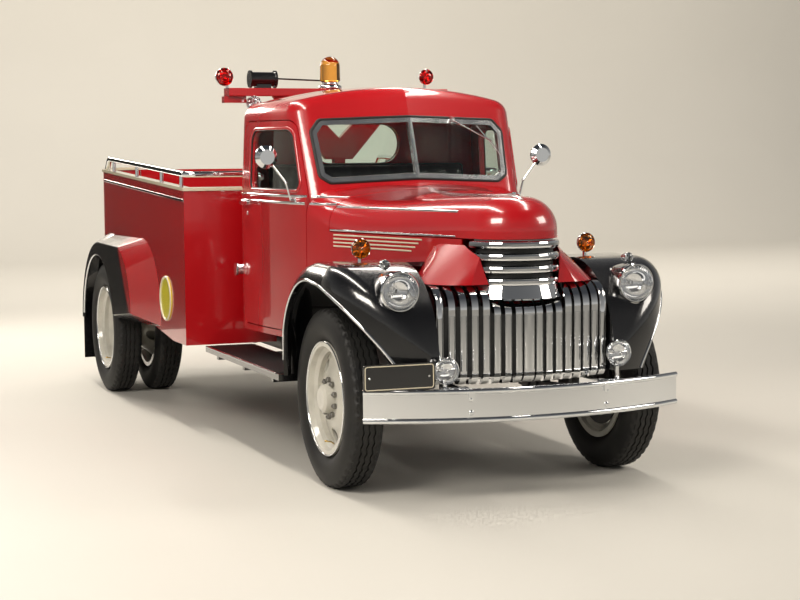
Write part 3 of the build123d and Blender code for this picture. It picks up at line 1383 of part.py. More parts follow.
# Columns: place, radius, depth, height that the stem comes from
RACK_LAMPS = (((MAST_X + 10, 594, 2158), 50, 56, RACK_TOP),
              ((MAST_X + 10, -735, 2148), 56, 80, RACK_TOP),
              ((MAST_X + 80, -570, 1985), 48, 60, RACK_Z))
with BuildPart() as rack_lamps:
    for (x, y, z), radius, depth, stem_z in RACK_LAMPS:
        add(round_lamp((x, y, z), radius, depth, radius * 0.35))
        stem_y = max(y, -RACK_HALF_W + 12)
        add(tube((x - depth * 0.5, stem_y, stem_z), (x - depth * 0.5, stem_y, z), 9))
save(rack_lamps, "rack_lamps")
with BuildPart() as beacon:
    with BuildSketch(Plane.XZ.offset(50)):
        with BuildLine():
            Polyline((MAST_X, RACK_TOP), (MAST_X + 72, RACK_TOP), (MAST_X + 72, RACK_TOP + 12),
                     (MAST_X + 50, RACK_TOP + 22), (MAST_X + 50, RACK_TOP + 40), (MAST_X + 64, RACK_TOP + 48),
                     (MAST_X + 62, RACK_TOP + 138))
            CenterArc((MAST_X, RACK_TOP + 138), 62, 0, 90)
            Line((MAST_X, RACK_TOP + 200), (MAST_X, RACK_TOP))
        make_face()
    revolve(axis=Axis((MAST_X, -50, 0), (0, 0, 1)))
save(beacon, "beacon")
with BuildPart() as siren:
    for y, radius, length in ((-490, 44, 150), (-411, 54, 12), (-569, 54, 12)):
        with BuildSketch(Plane.XZ.offset(-y - length / 2)):
            with Locations((MAST_X, 2136)):
                Circle(radius)
        extrude(amount=length)
    with Locations((MAST_X, -490, RACK_TOP + 12)):
        Box(70, 90, 24)
    add(tube((MAST_X, -410, 2140), (MAST_X, -115, 2130), 5))
save(siren, "siren")

# Cab fittings
with BuildPart() as seat_cushion:
    with Locations((SEAT_X + 245, 0, SEAT_Z + 71)):
        Box(490, 1220, 140)
    fillet(seat_cushion.edges().filter_by(Axis.Y), 45)
save(seat_cushion, "seat_cushion")
with BuildPart() as seat_back:
    with BuildSketch(Plane.XZ.offset(-610)):
        with BuildLine():
            Polyline((SEAT_X - 60, 1142), (SEAT_X + 90, 1142), (SEAT_X - 20, 1610), (SEAT_X - 130, 1610),
                     (SEAT_X - 60, 1142))
        make_face()
    extrude(amount=1220)
    fillet(seat_back.edges().filter_by(Axis.Y).group_by(Axis.Z)[-1], 40)
save(seat_back, "seat_back")
WHEEL_CENTRE = (960, 330, 1395)
WHEEL_LEAN = 38
wheel_plane_steer = Plane(origin=WHEEL_CENTRE, x_dir=(0, 1, 0),
                          z_dir=(-sin(radians(WHEEL_LEAN)), 0, cos(radians(WHEEL_LEAN))))
with BuildPart() as steering_wheel:
    with BuildSketch(Plane(origin=WHEEL_CENTRE, x_dir=wheel_plane_steer.x_dir,
                           z_dir=wheel_plane_steer.y_dir)):
        with Locations((205, 0)):
            Circle(11)
    revolve(axis=Axis(WHEEL_CENTRE, wheel_plane_steer.z_dir))
    with BuildSketch(wheel_plane_steer.offset(-7)):
        Circle(34)
        for turn in (90, 210, 330):
            with Locations(Location((0, 0), turn)):
                Rectangle(205, 16, align=(Align.MIN, Align.CENTER))
    extrude(amount=14)
    with BuildSketch(wheel_plane_steer):
        Circle(19)
    extrude(amount=-620)
save(steering_wheel, "steering_wheel")
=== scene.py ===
# %% [markdown]
# # A bonneted fire engine
# A truck of the late 1940s rebuilt as a fire engine: a round cab, a flared hood, a bright
# waterfall grille, an open hose body and a lamp plank on a V post. The solids come from the
# CAD frame and stay where they are. This script adds what a maker adds last: paint, plating,
# rubber and glass, and the small pieces that are too fine for the solids.

# %% Load the frame
import bpy
import bmesh
import json
from math import atan2, cos, hypot, pi, radians, sin, sqrt, tan
from mathutils import Matrix, Vector
from mathutils.bvhtree import BVHTree

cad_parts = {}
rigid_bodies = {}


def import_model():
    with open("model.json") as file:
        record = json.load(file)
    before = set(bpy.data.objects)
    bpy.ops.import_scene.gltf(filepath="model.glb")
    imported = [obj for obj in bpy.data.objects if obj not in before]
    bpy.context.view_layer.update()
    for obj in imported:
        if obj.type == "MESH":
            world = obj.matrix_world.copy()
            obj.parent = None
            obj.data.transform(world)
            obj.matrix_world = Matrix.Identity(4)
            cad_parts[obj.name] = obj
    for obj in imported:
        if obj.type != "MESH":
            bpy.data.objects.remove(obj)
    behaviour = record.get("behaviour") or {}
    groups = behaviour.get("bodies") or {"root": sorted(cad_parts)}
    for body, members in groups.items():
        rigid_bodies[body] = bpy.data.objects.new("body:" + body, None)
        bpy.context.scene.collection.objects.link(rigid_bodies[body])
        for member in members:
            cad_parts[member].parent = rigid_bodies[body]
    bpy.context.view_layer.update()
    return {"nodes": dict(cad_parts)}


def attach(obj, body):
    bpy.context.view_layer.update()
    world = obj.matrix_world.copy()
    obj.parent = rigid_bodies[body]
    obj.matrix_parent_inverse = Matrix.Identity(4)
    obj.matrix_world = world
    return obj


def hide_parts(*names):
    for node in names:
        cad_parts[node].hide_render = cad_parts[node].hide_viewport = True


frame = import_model()
nodes = frame["nodes"]
scene = bpy.context.scene
for old in [o for o in bpy.data.objects if o.name in ("Cube", "Light", "Camera")]:
    bpy.data.objects.remove(old)

# %% [markdown]
# The camera stands ahead of the truck and to its right, at a person's eye height, with a long
# lens. Its place was worked out from the tyres, the wheelbase and the pairs of lamps.

# %% Camera
forward = Vector((-0.92898, 0.36005, -0.08574))
right = Vector((0.36189, 0.93220, -0.00645))
up = Vector((-0.07760, 0.03702, 0.99630))
lens = bpy.data.cameras.new("camera")
lens.sensor_fit = "HORIZONTAL"
lens.sensor_width = 36
lens.lens = 80.15
camera = bpy.data.objects.new("camera", lens)
turn = Matrix((right, up, -forward)).transposed().to_4x4()
camera.matrix_world = Matrix.Translation((10.501, -3.703, 1.716)) @ turn
scene.collection.objects.link(camera)
scene.camera = camera
scene.view_settings.view_transform = "Standard"

# %% [markdown]
# Colours are written here as they are on paper, in sRGB hex, and one function turns them into
# the linear values that the shader needs. A second helper adds a shader node with its links.

# %% Colour and node helpers
def srgb(code):
    """A colour written as on paper, turned to the linear values that the shader needs."""
    values = [int(code[i:i + 2], 16) / 255 for i in (1, 3, 5)]
    linear = [v / 12.92 if v < 0.04045 else ((v + 0.055) / 1.055) ** 2.4 for v in values]
    return (*linear, 1.0)


def add_node(tree, kind, settings=None, inputs=None):
    """Adds one node, with its settings, and its sockets as values or links."""
    node = tree.nodes.new(kind)
    for name, value in (settings or {}).items():
        setattr(node, name, value)
    for name, value in (inputs or {}).items():
        if isinstance(value, bpy.types.NodeSocket):
            tree.links.new(value, node.inputs[name])
        else:
            node.inputs[name].default_value = value
    return node


# %% [markdown]
# Glossy paint and plating show mostly what is around them, so the studio matters as much as
# the paint. The world is a pale dome that darkens towards its top, which gives the plating
# something dark to reflect.

# %% World
world = bpy.data.worlds.new("studio dome")
scene.world = world
world.use_nodes = True
sky = world.node_tree
sky.nodes.clear()
place = add_node(sky, "ShaderNodeTexCoord")
split = add_node(sky, "ShaderNodeSeparateXYZ", {}, {"Vector": place.outputs["Generated"]})
tones = add_node(sky, "ShaderNodeValToRGB", {}, {"Fac": split.outputs["Z"]})
tones.color_ramp.elements[0].color = srgb("#D9D6D0")
tones.color_ramp.elements[1].position = 0.75
tones.color_ramp.elements[1].color = srgb("#4A4C50")
tones.color_ramp.elements.new(0.16).color = srgb("#A9A8A6")
back = add_node(sky, "ShaderNodeBackground", {}, {"Color": tones.outputs["Color"], "Strength": 0.75})
add_node(sky, "ShaderNodeOutputWorld", {}, {"Surface": back.outputs["Background"]})

# %% [markdown]
# Long soft boxes overhead draw bright streaks along the hood and the roof, and wide ones light
# the front, the left and the back. Three more wash the wall and the floor far away. Those over
# the floor are kept out of reflections, because nobody would hang them where paint shows them.

# %% Soft boxes
# Columns: name, centre, point that it faces, width, length, watts
SOFT_BOXES = (
    ("key box", (5.5, -5.5, 5.2), (0.6, -0.3, 0.8), 2.2, 3.6, 430),
    ("left box", (5.0, 6.0, 4.2), (0.8, 0.4, 0.8), 2.0, 3.0, 190),
    ("roof strip right", (0.2, -1.5, 4.6), (0.2, -0.5, 1.0), 0.35, 6.5, 150),
    ("roof strip left", (0.2, 1.5, 4.6), (0.2, 0.5, 1.0), 0.35, 6.5, 110),
    ("back box", (-6.5, -2.5, 3.6), (-0.6, -0.2, 0.9), 2.0, 3.0, 200),
    ("wall wash", (-9.0, 4.0, 11.0), (-19.0, 6.0, 1.5), 8.0, 24.0, 1900),
    ("far floor", (-9.0, 4.0, 9.0), (-9.5, 4.0, 0.0), 8.0, 24.0, 800),
    ("near floor", (17.0, 2.0, 9.0), (17.5, 2.0, 0.0), 8.0, 24.0, 900),
)
for name, centre, target, width, length, watts in SOFT_BOXES:
    lamp = bpy.data.lights.new(name, "AREA")
    lamp.shape = "RECTANGLE"
    lamp.size = width
    lamp.size_y = length
    lamp.energy = watts
    lamp.color = srgb("#FFF7EC")[:3]
    stand = bpy.data.objects.new(name, lamp)
    aim = (Vector(centre) - Vector(target)).to_track_quat("Z", "X")
    stand.matrix_world = Matrix.Translation(centre) @ aim.to_matrix().to_4x4()
    stand.visible_glossy = "floor" not in name
    scene.collection.objects.link(stand)
print("soft boxes:", len(SOFT_BOXES))

# %% [markdown]
# ## Paint
# Fire red on a show truck is enamel, sprayed in many coats and polished. The pigment gives
# the deep red, and the clear top layer gives the sharp gloss. Sprayed enamel is never dead
# flat: it has a faint ripple, called orange peel, a few millimetres across.

# %% Materials: start of each one
finishes = {}


def finish(name, colour, roughness, metallic=0.0, **sockets):
    """A new material with its plain values set on the shader's own sockets."""
    made = bpy.data.materials.new(name)
    made.use_nodes = True
    shader = made.node_tree.nodes["Principled BSDF"]
    shader.inputs["Base Color"].default_value = srgb(colour)
    shader.inputs["Roughness"].default_value = roughness
    shader.inputs["Metallic"].default_value = metallic
    for socket, value in sockets.items():
        shader.inputs[socket.replace("_", " ")].default_value = value
    made.diffuse_color = srgb(colour)
    finishes[name] = made
    return shader


def own_place(tree, scale=(1.0, 1.0, 1.0)):
    """Object coordinates in metres, which stay on the piece while its body moves."""
    place = add_node(tree, "ShaderNodeTexCoord")
    inputs = {"Vector": place.outputs["Object"], "Scale": scale}
    return add_node(tree, "ShaderNodeMapping", {}, inputs).outputs["Vector"]


def noise_of(tree, scale, stretch=(1.0, 1.0, 1.0), **sockets):
    """Noise in the piece's own coordinates."""
    inputs = {"Vector": own_place(tree, stretch), "Scale": scale, **sockets}
    return add_node(tree, "ShaderNodeTexNoise", {}, inputs).outputs["Fac"]


def ramp_of(tree, value, low, high, low_at, high_at):
    """A value turned into a colour between two."""
    ramp = add_node(tree, "ShaderNodeValToRGB", {}, {"Fac": value})
    for element, colour, at in zip(ramp.color_ramp.elements, (low, high), (low_at, high_at)):
        element.color, element.position = srgb(colour), at
    return ramp.outputs["Color"]


def bumpy(shader, height, strength, distance):
    """Height in metres of distance, as bump on the shader's normal."""
    inputs = {"Height": height, "Strength": strength, "Distance": distance}
    normal = add_node(shader.id_data, "ShaderNodeBump", {}, inputs).outputs["Normal"]
    shader.id_data.links.new(normal, shader.inputs["Normal"])
    return normal


def vary(shader, low, high, scale, low_at=0.35, high_at=0.65):
    """A slow change of the base colour between two colours."""
    tree = shader.id_data
    tree.links.new(ramp_of(tree, noise_of(tree, scale, Detail=4.0), low, high, low_at, high_at),
                   shader.inputs["Base Color"])


# %% [markdown]
# The truck wears four enamels. One row of the table makes each of them, so that they differ
# only in colour and in how strong the ripple is.

# %% Sprayed enamels
# Columns: name, colour, a darker shade of it, ripple strength, roughness under the clear coat
ENAMELS = (
    ("red enamel", "#A70A12", "#9C0810", 0.008, 0.26),
    ("black enamel", "#08080A", "#0B0B0D", 0.008, 0.22),
    ("yellow enamel", "#D9CE1E", "#CDBF18", 0.020, 0.30),
    ("cream enamel", "#CFC6AE", "#C4BAA0", 0.020, 0.30),
)
PEEL_STEP = 0.012
for name, colour, shade, ripple, rough in ENAMELS:
    shader = finish(name, colour, rough, Coat_Weight=1.0, Coat_Roughness=0.03, Specular_IOR_Level=0.5)
    tree = shader.id_data
    vary(shader, shade, colour, 1.3)
    # Orange peel: lumps 12 mm apart, one cell of noise each
    normal = bumpy(shader, noise_of(tree, 1 / PEEL_STEP, Detail=1.0), ripple, 0.002)
    tree.links.new(normal, shader.inputs["Coat Normal"])
print("enamels:", len(ENAMELS))

# %% [markdown]
# ## Plating, glass and rubber
# Chromium plate is a mirror with a slightly blue white. On an old truck the polishing leaves
# it a little wavy, which shows as reflections that bend, so a weak, slow bump is enough.

# %% Plated and bare metals
# Columns: name, colour, roughness, size of the waves in metres, strength of the waves
METALS = (
    ("chrome plate", "#E4E6E8", 0.045, 0.060, 0.020),
    ("polished brass", "#D8BC7A", 0.120, 0.050, 0.020),
    ("cast aluminium", "#D2D3D4", 0.200, 0.080, 0.010),
    ("bare steel", "#8E8C88", 0.380, 0.010, 0.060),
    ("mirror silver", "#F0F2F2", 0.015, 0.300, 0.000),
)
for name, colour, rough, wave, strength in METALS:
    shader = finish(name, colour, rough, metallic=1.0)
    if strength:
        tree = shader.id_data
        waves = noise_of(tree, 1 / wave)
        bumpy(shader, waves, strength, 0.004)
        grey = add_node(tree, "ShaderNodeMapRange", {}, {
            "Value": waves, "To Min": rough * 0.7, "To Max": rough * 1.5})
        tree.links.new(grey.outputs["Result"], shader.inputs["Roughness"])

# %% [markdown]
# The frame, axles and springs are brushed with satin black chassis paint. It is thick, it
# keeps brush marks and dust, and it dries less even than enamel.

# %% Chassis paint, cast iron and spring steel
# Columns: name, colour, dust colour, roughness, size of the grain in metres, grain strength
COATED_IRON = (
    ("chassis paint", "#161616", "#24221F", 0.42, 0.008, 0.25),
    ("cast iron", "#3A3D40", "#2B2C2D", 0.55, 0.003, 0.50),
    ("spring steel", "#1E1E20", "#2E2B28", 0.45, 0.006, 0.30),
    ("silver wheel paint", "#C4C1B6", "#B2AFA4", 0.30, 0.010, 0.05),
)
for name, colour, dust, rough, grain, strength in COATED_IRON:
    shader = finish(name, colour, rough)
    vary(shader, dust, colour, 9.0, low_at=0.3, high_at=0.55)
    bumpy(shader, noise_of(shader.id_data, 1 / grain, Detail=6.0), strength, 0.0015)
# Only the wheels have a clear coat; they come last in the table
shader.inputs["Coat Weight"].default_value = 0.8
shader.inputs["Coat Roughness"].default_value = 0.08

# %% [markdown]
# Window glass is a 6 mm pane with a faint green from its iron. Lamp lenses are pressed glass,
# clear, amber or red; the coloured ones are dyed through, so light comes out of them coloured.

# %% Glass
# Columns: name, colour, roughness, depth of the pressed pattern
GLASSES = (
    ("window glass", "#EAF4EF", 0.0, 0.0),
    ("pressed clear glass", "#FFFFFF", 0.02, 0.20),
    ("amber glass", "#FFB24E", 0.04, 0.12),
    ("red glass", "#F0260E", 0.04, 0.15),
)
FLUTE_STEP = 0.009
for name, colour, rough, pattern in GLASSES:
    shader = finish(name, colour, rough, Transmission_Weight=1.0, IOR=1.50)
    if pattern:
        # Pressed flutes, as wide as they are on a real lens
        tree = shader.id_data
        inputs = {"Vector": own_place(tree), "Scale": 1 / (FLUTE_STEP * 6.283) * 2, "Distortion": 0.3}
        flutes = add_node(tree, "ShaderNodeTexWave", {"bands_direction": "Y"}, inputs)
        bumpy(shader, flutes.outputs["Fac"], pattern, 0.001)

# %% [markdown]
# Tyre rubber is nearly black, with carbon in it, and never shiny on the tread. A very fine
# grain comes from the mould.

# %% Rubber, leathercloth, bakelite and wood
shader = finish("tyre rubber", "#101010", 0.62)
vary(shader, "#1A1917", "#0E0E0E", 7.0)
bumpy(shader, noise_of(shader.id_data, 260.0, Detail=3.0), 0.25, 0.0008)
shader = finish("seal rubber", "#0D0D0D", 0.50)
bumpy(shader, noise_of(shader.id_data, 400.0), 0.15, 0.0005)

# Seats in black leathercloth: a rolled-in grain of cells about 2 mm wide
shader = finish("black leathercloth", "#15120F", 0.42)
tree = shader.id_data
cells = add_node(tree, "ShaderNodeTexVoronoi", {"feature": "F1"},
                 {"Vector": own_place(tree), "Scale": 1 / 0.0035})
bumpy(shader, cells.outputs["Distance"], 0.35, 0.0006)
vary(shader, "#1B1713", "#110F0D", 3.0)

shader = finish("bakelite", "#0B0908", 0.16, Coat_Weight=0.4, Coat_Roughness=0.05)
vary(shader, "#120D0A", "#090808", 12.0)

# The deck is varnished softwood: grain drawn out along the planks, each plank its own tone
shader = finish("varnished planks", "#8A5F38", 0.38, Coat_Weight=0.35, Coat_Roughness=0.15)
tree = shader.id_data
grain = noise_of(tree, 1.6, (1.6, 34.0, 34.0), Detail=8.0, Distortion=0.6)
wood = ramp_of(tree, grain, "#5E3D22", "#A2734A", 0.34, 0.68)
whole = add_node(tree, "ShaderNodeTexCoord")
axes = add_node(tree, "ShaderNodeSeparateXYZ", {}, {"Vector": whole.outputs["Object"]})
PLANK_PITCH, FIRST_PLANK_Y = 0.16817, -1.006
value = axes.outputs["Y"]
for operation, other in (("ADD", -FIRST_PLANK_Y), ("DIVIDE", PLANK_PITCH), ("FLOOR", 0.0)):
    value = add_node(tree, "ShaderNodeMath", {"operation": operation}, {0: value, 1: other}).outputs["Value"]
tone = add_node(tree, "ShaderNodeTexWhiteNoise", {"noise_dimensions": "1D"}, {"W": value})
darker = add_node(tree, "ShaderNodeMapRange", {},
                  {"Value": tone.outputs["Value"], "To Min": 0.72, "To Max": 1.08})
tinted = add_node(tree, "ShaderNodeHueSaturation", {}, {"Color": wood, "Value": darker.outputs["Result"]})
tree.links.new(tinted.outputs["Color"], shader.inputs["Base Color"])
bumpy(shader, grain, 0.20, 0.0015)
print("materials:", len(finishes))

# %% [markdown]
# ## The finish of each solid
# The table follows the real truck: what is body is red enamel, what is fender or step is black
# enamel, and what is bright is plated.

# %% Assign a material to every solid
FINISH_OF = {
    "red enamel": ("hood", "hood_sides", "cab_roof", "cab_front", "cab_back", "door_right", "door_left",
                   "body_front_wall", "body_sides", "body_rear_wall", "tailgate", "lamp_rack"),
    "black enamel": ("front_fenders", "rear_fenders", "running_boards", "siren", "number_plate"),
    "chassis paint": ("frame_rails", "front_axle", "rear_axle", "knuckle_left", "knuckle_right", "radiator",
                      "tailboard", "cab_floor"),
    "spring steel": ("leaf_springs",),
    "cast iron": ("engine_block",),
    "bare steel": ("exhaust", "tie_rod"),
    "chrome plate": ("bumper", "upper_grille", "lower_grille", "headlamp_rims", "door_fittings_left",
                     "door_fittings_right", "small_lamps", "rack_lamps", "body_rails"),
    "cast aluminium": ("windscreen_frame",),
    "window glass": ("cab_glass", "door_glass_left", "door_glass_right"),
    "pressed clear glass": ("headlamp_lenses",),
    "amber glass": ("beacon",),
    "yellow enamel": ("side_discs",),
    "silver wheel paint": ("wheel_front_left", "wheel_front_right", "wheels_rear_left", "wheels_rear_right"),
    "tyre rubber": ("tyre_front_left", "tyre_front_right", "tyres_rear_left", "tyres_rear_right"),
    "varnished planks": ("bed_floor",),
    "black leathercloth": ("seat_back", "seat_cushion"),
    "bakelite": ("steering_wheel",),
}


def give(obj, name):
    """Puts one finish in every material slot of a piece."""
    if not obj.material_slots:
        obj.data.materials.append(finishes[name])
    for place in obj.material_slots:
        place.material = finishes[name]


for name, members in FINISH_OF.items():
    for member in members:
        give(nodes[member], name)
left_over = set(nodes) - {m for members in FINISH_OF.values() for m in members}
print("solids without a finish:", sorted(left_over))

# %% [markdown]
# ## Making small pieces
# Most small parts on a truck are turned, bent from rod, or pressed from strip. So three helpers
# make nearly everything here: one turns a profile round an axis as a lathe does, one runs a
# round section along a path as bent rod, and one makes a block with broken edges. Two more give
# the outlines that come back most often: half a dome's profile, and points round a hoop.

# %% Helpers for pieces
def piece(name, shape, material, smooth, body="chassis"):
    """Turns a finished shape into an object that rides on a body."""
    bmesh.ops.remove_doubles(shape, verts=shape.verts, dist=1e-6)
    bmesh.ops.recalc_face_normals(shape, faces=shape.faces)
    mesh = bpy.data.meshes.new(name)
    shape.to_mesh(mesh)
    shape.free()
    for face in mesh.polygons:
        face.use_smooth = smooth > 0
    if smooth:
        mesh.set_sharp_from_angle(angle=radians(smooth))
    made = bpy.data.objects.new(name, mesh)
    scene.collection.objects.link(made)
    give(made, material)
    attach(made, body)
    return made


def turned(shape, profile, centre, along, steps):
    """Turns a profile of (distance along the axis, radius) round the axis at centre."""
    axis = Vector(along).normalized()
    side = axis.orthogonal().normalized()
    other = axis.cross(side)
    centre = Vector(centre)
    rings = []
    for reach, radius in profile:
        if radius < 1e-6:
            rings.append([shape.verts.new(centre + axis * reach)])
            continue
        rings.append([shape.verts.new(centre + axis * reach + (side * cos(2 * pi * k / steps)
                                      + other * sin(2 * pi * k / steps)) * radius) for k in range(steps)])
    for a, b in zip(rings, rings[1:]):
        for k in range(steps):
            quad = [a[k % len(a)], a[(k + 1) % len(a)], b[(k + 1) % len(b)], b[k % len(b)]]
            corners = list(dict.fromkeys(quad))
            if len(corners) > 2:
                shape.faces.new(corners)


def turned_piece(name, profile, centre, along, steps, material, smooth, body="chassis"):
    """A piece that is one turned shape."""
    shape = bmesh.new()
    turned(shape, profile, centre, along, steps)
    return piece(name, shape, material, smooth, body)


def dome(foot, high, radius, step=10, power=1.0):
    """A dome's profile for turning, from its foot to its top."""
    return [(foot + high * sin(radians(a)), radius * cos(radians(a)) ** power) for a in range(0, 91, step)]


def hoop(centre, radius, count, shift=0.0):
    """Points on a circle round the Y axis."""
    angles = [2 * pi * (k + shift) / count for k in range(count)]
    return [Vector(centre) + Vector((cos(a), 0, sin(a))) * radius for a in angles]


def bent_rod(shape, path, radius, sides=10, closed=False, flat=1.0, lift=None):
    """A rod along a path. With flat under 1 it is a half oval whose flat side faces away from lift."""
    path = [Vector(p) for p in path]
    count = len(path)
    rings = []
    normal = None
    for k, point in enumerate(path):
        before = path[(k - 1) % count] if closed or k else point
        after = path[(k + 1) % count] if closed or k < count - 1 else point
        run = (after - before).normalized()
        if lift is not None:
            normal = Vector(lift[k] if isinstance(lift, list) else lift)
            normal = (normal - run * normal.dot(run)).normalized()
        elif normal is None:
            normal = run.orthogonal().normalized()
        else:
            normal = (normal - run * normal.dot(run)).normalized()
        across = run.cross(normal)
        rings.append([shape.verts.new(point + (across * cos(2 * pi * s / sides)
                                      + normal * sin(2 * pi * s / sides) * flat) * radius)
                      for s in range(sides)])
    pairs = list(zip(rings, rings[1:])) + ([(rings[-1], rings[0])] if closed else [])
    for a, b in pairs:
        for s in range(sides):
            shape.faces.new((a[s], a[(s + 1) % sides], b[(s + 1) % sides], b[s]))
    if not closed:
        shape.faces.new(rings[0][::-1])
        shape.faces.new(rings[-1])


def rod_piece(name, path, radius, sides, material, closed=True, body="chassis"):
    """A piece that is one bent rod."""
    shape = bmesh.new()
    bent_rod(shape, path, radius, sides, closed)
    piece(name, shape, material, 60, body)


def block(shape, low, high, edge):
    """A box between two corners with its edges broken by edge."""
    low, high = Vector(low), Vector(high)
    middle, size = (low + high) / 2, high - low
    place = Matrix.Translation(middle) @ Matrix.Diagonal((*size, 1.0))
    made = bmesh.ops.create_cube(shape, size=1.0, matrix=place)
    edges = list({e for v in made["verts"] for e in v.link_edges})
    bmesh.ops.bevel(shape, geom=edges, offset=edge, segments=2, affect="EDGES", profile=0.6)


# %% [markdown]
# Trim has to lie on the panels that carry it. A ray cast onto a panel gives the point where a
# moulding touches it, so the trim follows every curve of the solid, however it was lofted.

# %% Helper that finds the panel's surface
# A place beside the truck, further out than any panel
BESIDE = 1.4
skins = {}


def touch(node, start, direction):
    """Where a ray from start meets a solid, and the solid's normal there."""
    if node not in skins:
        mesh = nodes[node].data
        skins[node] = BVHTree.FromPolygons([v.co for v in mesh.vertices], [p.vertices for p in mesh.polygons])
    return skins[node].ray_cast(Vector(start), Vector(direction).normalized())[:2]


def laid_on(members, starts, direction, proud=0.0):
    """The points where rays from starts meet the nearest of several solids, and their normals."""
    places, normals = [], []
    for start in starts:
        hits = [touch(n, start, direction) for n in members]
        hits = [(p, n) for p, n in hits if p is not None]
        if not hits:
            continue
        place, normal = min(hits, key=lambda hit: (hit[0] - Vector(start)).length)
        if normal.dot(Vector(direction)) > 0:
            normal = -normal
        places.append(place + normal * proud)
        normals.append(normal)
    return places, normals


def moulding(name, members, starts, direction, radius, flat, material="chrome plate", body="chassis",
             closed=False, proud=0.0):
    """A half-oval strip laid on one or more panels."""
    places, normals = laid_on(members, starts, direction, proud)
    shape = bmesh.new()
    bent_rod(shape, places, radius, 10, closed, flat, normals)
    piece(name, shape, material, 60, body)


def side_moulding(name, members, sign, outline, radius, flat, *finish_and_body, **more):
    """A strip laid from beside the truck, along an outline of (x, z)."""
    starts = [(x, sign * BESIDE, z) for x, z in outline]
    moulding(name, members, starts, (0, -sign, 0), radius, flat, *finish_and_body, **more)


def run_of(first, last, count):
    """Evenly spaced values from first to last."""
    return [first + (last - first) * k / (count - 1) for k in range(count)]


def level(first, last, z, count):
    """An outline of (x, z) that stays at one height."""
    return [(x, z) for x in run_of(first, last, count)]


SIDES = (("right", -1), ("left", 1))

# %% [markdown]
# ## Tyres
# The tyres are 7.00-20 truck tyres with a ribbed road tread: four ribs with zigzag grooves
# between them, and notched shoulders. The body of the tyre is turned from a profile, and each
# groove's place along the width swings as the profile goes round, which is what makes a zigzag.

# %% Tyres
TYRE_R, TYRE_HALF, BEAD_R = 0.4525, 0.095, 0.2683
TREAD_HALF, GROOVE_DEPTH, GROOVE_HALF, ZIGZAG = 0.062, 0.009, 0.0045, 0.0045
TYRE_STEPS, TEETH, NOTCH_DEPTH = 288, 48, 0.006
GROOVES = (-0.030, 0.0, 0.030)


def arc_points(a, b, c, count):
    """Points on the circle through three points of a profile."""
    (ax, ay), (bx, by), (cx, cy) = a, b, c
    aa, bb, cc = ax**2 + ay**2, bx**2 + by**2, cx**2 + cy**2
    d = 2 * (ax * (by - cy) + bx * (cy - ay) + cx * (ay - by))
    ux = (aa * (by - cy) + bb * (cy - ay) + cc * (ay - by)) / d
    uy = (aa * (cx - bx) + bb * (ax - cx) + cc * (bx - ax)) / d
    radius = hypot(ax - ux, ay - uy)
    first, mid, last = (atan2(y - uy, x - ux) for x, y in (a, b, c))
    sweep = (last - first + pi) % (2 * pi) - pi
    if abs((mid - first + pi) % (2 * pi) - pi) > abs(sweep):
        sweep -= 2 * pi * (1 if sweep > 0 else -1)
    return [(ux + radius * cos(first + sweep * k / count), uy + radius * sin(first + sweep * k / count))
            for k in range(count + 1)]


def tyre_section():
    """Columns of (width, radius, swing, notch) from one bead to the other."""
    wall = arc_points((-0.060, BEAD_R + 0.024), (-TYRE_HALF, 0.356), (-0.080, TYRE_R - 0.026), 12)
    rows = [(-0.060, BEAD_R, 0, 0)]
    for k, (w, r) in enumerate(wall):
        # Moulded rings on the sidewall, under 1 mm proud
        ring = 0.0012 if k in (2, 3, 8) else 0.0
        rows.append((w, r + ring, 0, 0))
    rows += [(-0.0775, TYRE_R - 0.0165, 0, 0), (-0.073, TYRE_R - 0.008, 0, 1), (-0.066, TYRE_R - 0.002, 0, 1),
             (-TREAD_HALF + 0.006, TYRE_R, 0, 1), (-TREAD_HALF + 0.009, TYRE_R, 0, 0)]
    for centre in GROOVES:
        for across, deep in ((-1, 0), (-0.7, GROOVE_DEPTH), (0.7, GROOVE_DEPTH), (1, 0)):
            rows.append((centre + across * GROOVE_HALF, TYRE_R - deep, 1, 0))
    mirrored = [(-w, r, s, n) for w, r, s, n in reversed(rows[:-4 * len(GROOVES)])]
    return rows + mirrored


SECTION = tyre_section()


def add_tyre(shape, centre):
    """One tyre round the Y axis; its tread swings and its shoulders are notched."""
    x, y, z = centre
    rings = []
    for k in range(TYRE_STEPS):
        phase = (k * TEETH / TYRE_STEPS) % 1
        swing = ZIGZAG * (4 * abs(phase - 0.5) - 1)
        notch = NOTCH_DEPTH if phase < 0.34 else 0.0
        angle = 2 * pi * k / TYRE_STEPS
        rings.append([shape.verts.new((x + (r - n * notch) * sin(angle), y + w + s * swing,
                                       z + (r - n * notch) * cos(angle))) for w, r, s, n in SECTION])
    count = len(SECTION)
    for k in range(TYRE_STEPS):
        a, b = rings[k], rings[(k + 1) % TYRE_STEPS]
        for s in range(count):
            shape.faces.new((a[s], b[s], b[(s + 1) % count], a[(s + 1) % count]))


FRONT_X, FRONT_Y = 2.050, 0.7615
REAR_X, OUTER_Y, INNER_Y = -2.014, 1.023, 0.731
TYRE_PLACES = {"tyre_front": ((FRONT_X, FRONT_Y),), "tyres_rear": ((REAR_X, OUTER_Y), (REAR_X, INNER_Y))}
for side, sign in SIDES:
    for kind, places in TYRE_PLACES.items():
        shape = bmesh.new()
        for x, y in places:
            add_tyre(shape, (x, sign * y, TYRE_R))
        body = ("wheel_front_" if kind == "tyre_front" else "wheels_rear_") + side
        tyre = piece(f"{kind}_{side}_tread", shape, "tyre rubber", 28, body)
        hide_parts(f"{kind}_{side}")
print("tyre triangles:", 2 * TYRE_STEPS * len(SECTION))

# %% [markdown]
# ## Wheels
# Each hub carries ten nuts in a ring, a plated cap and, on the rim, a valve stem. A bright ring
# marks the rim's edge on the outer wheels.

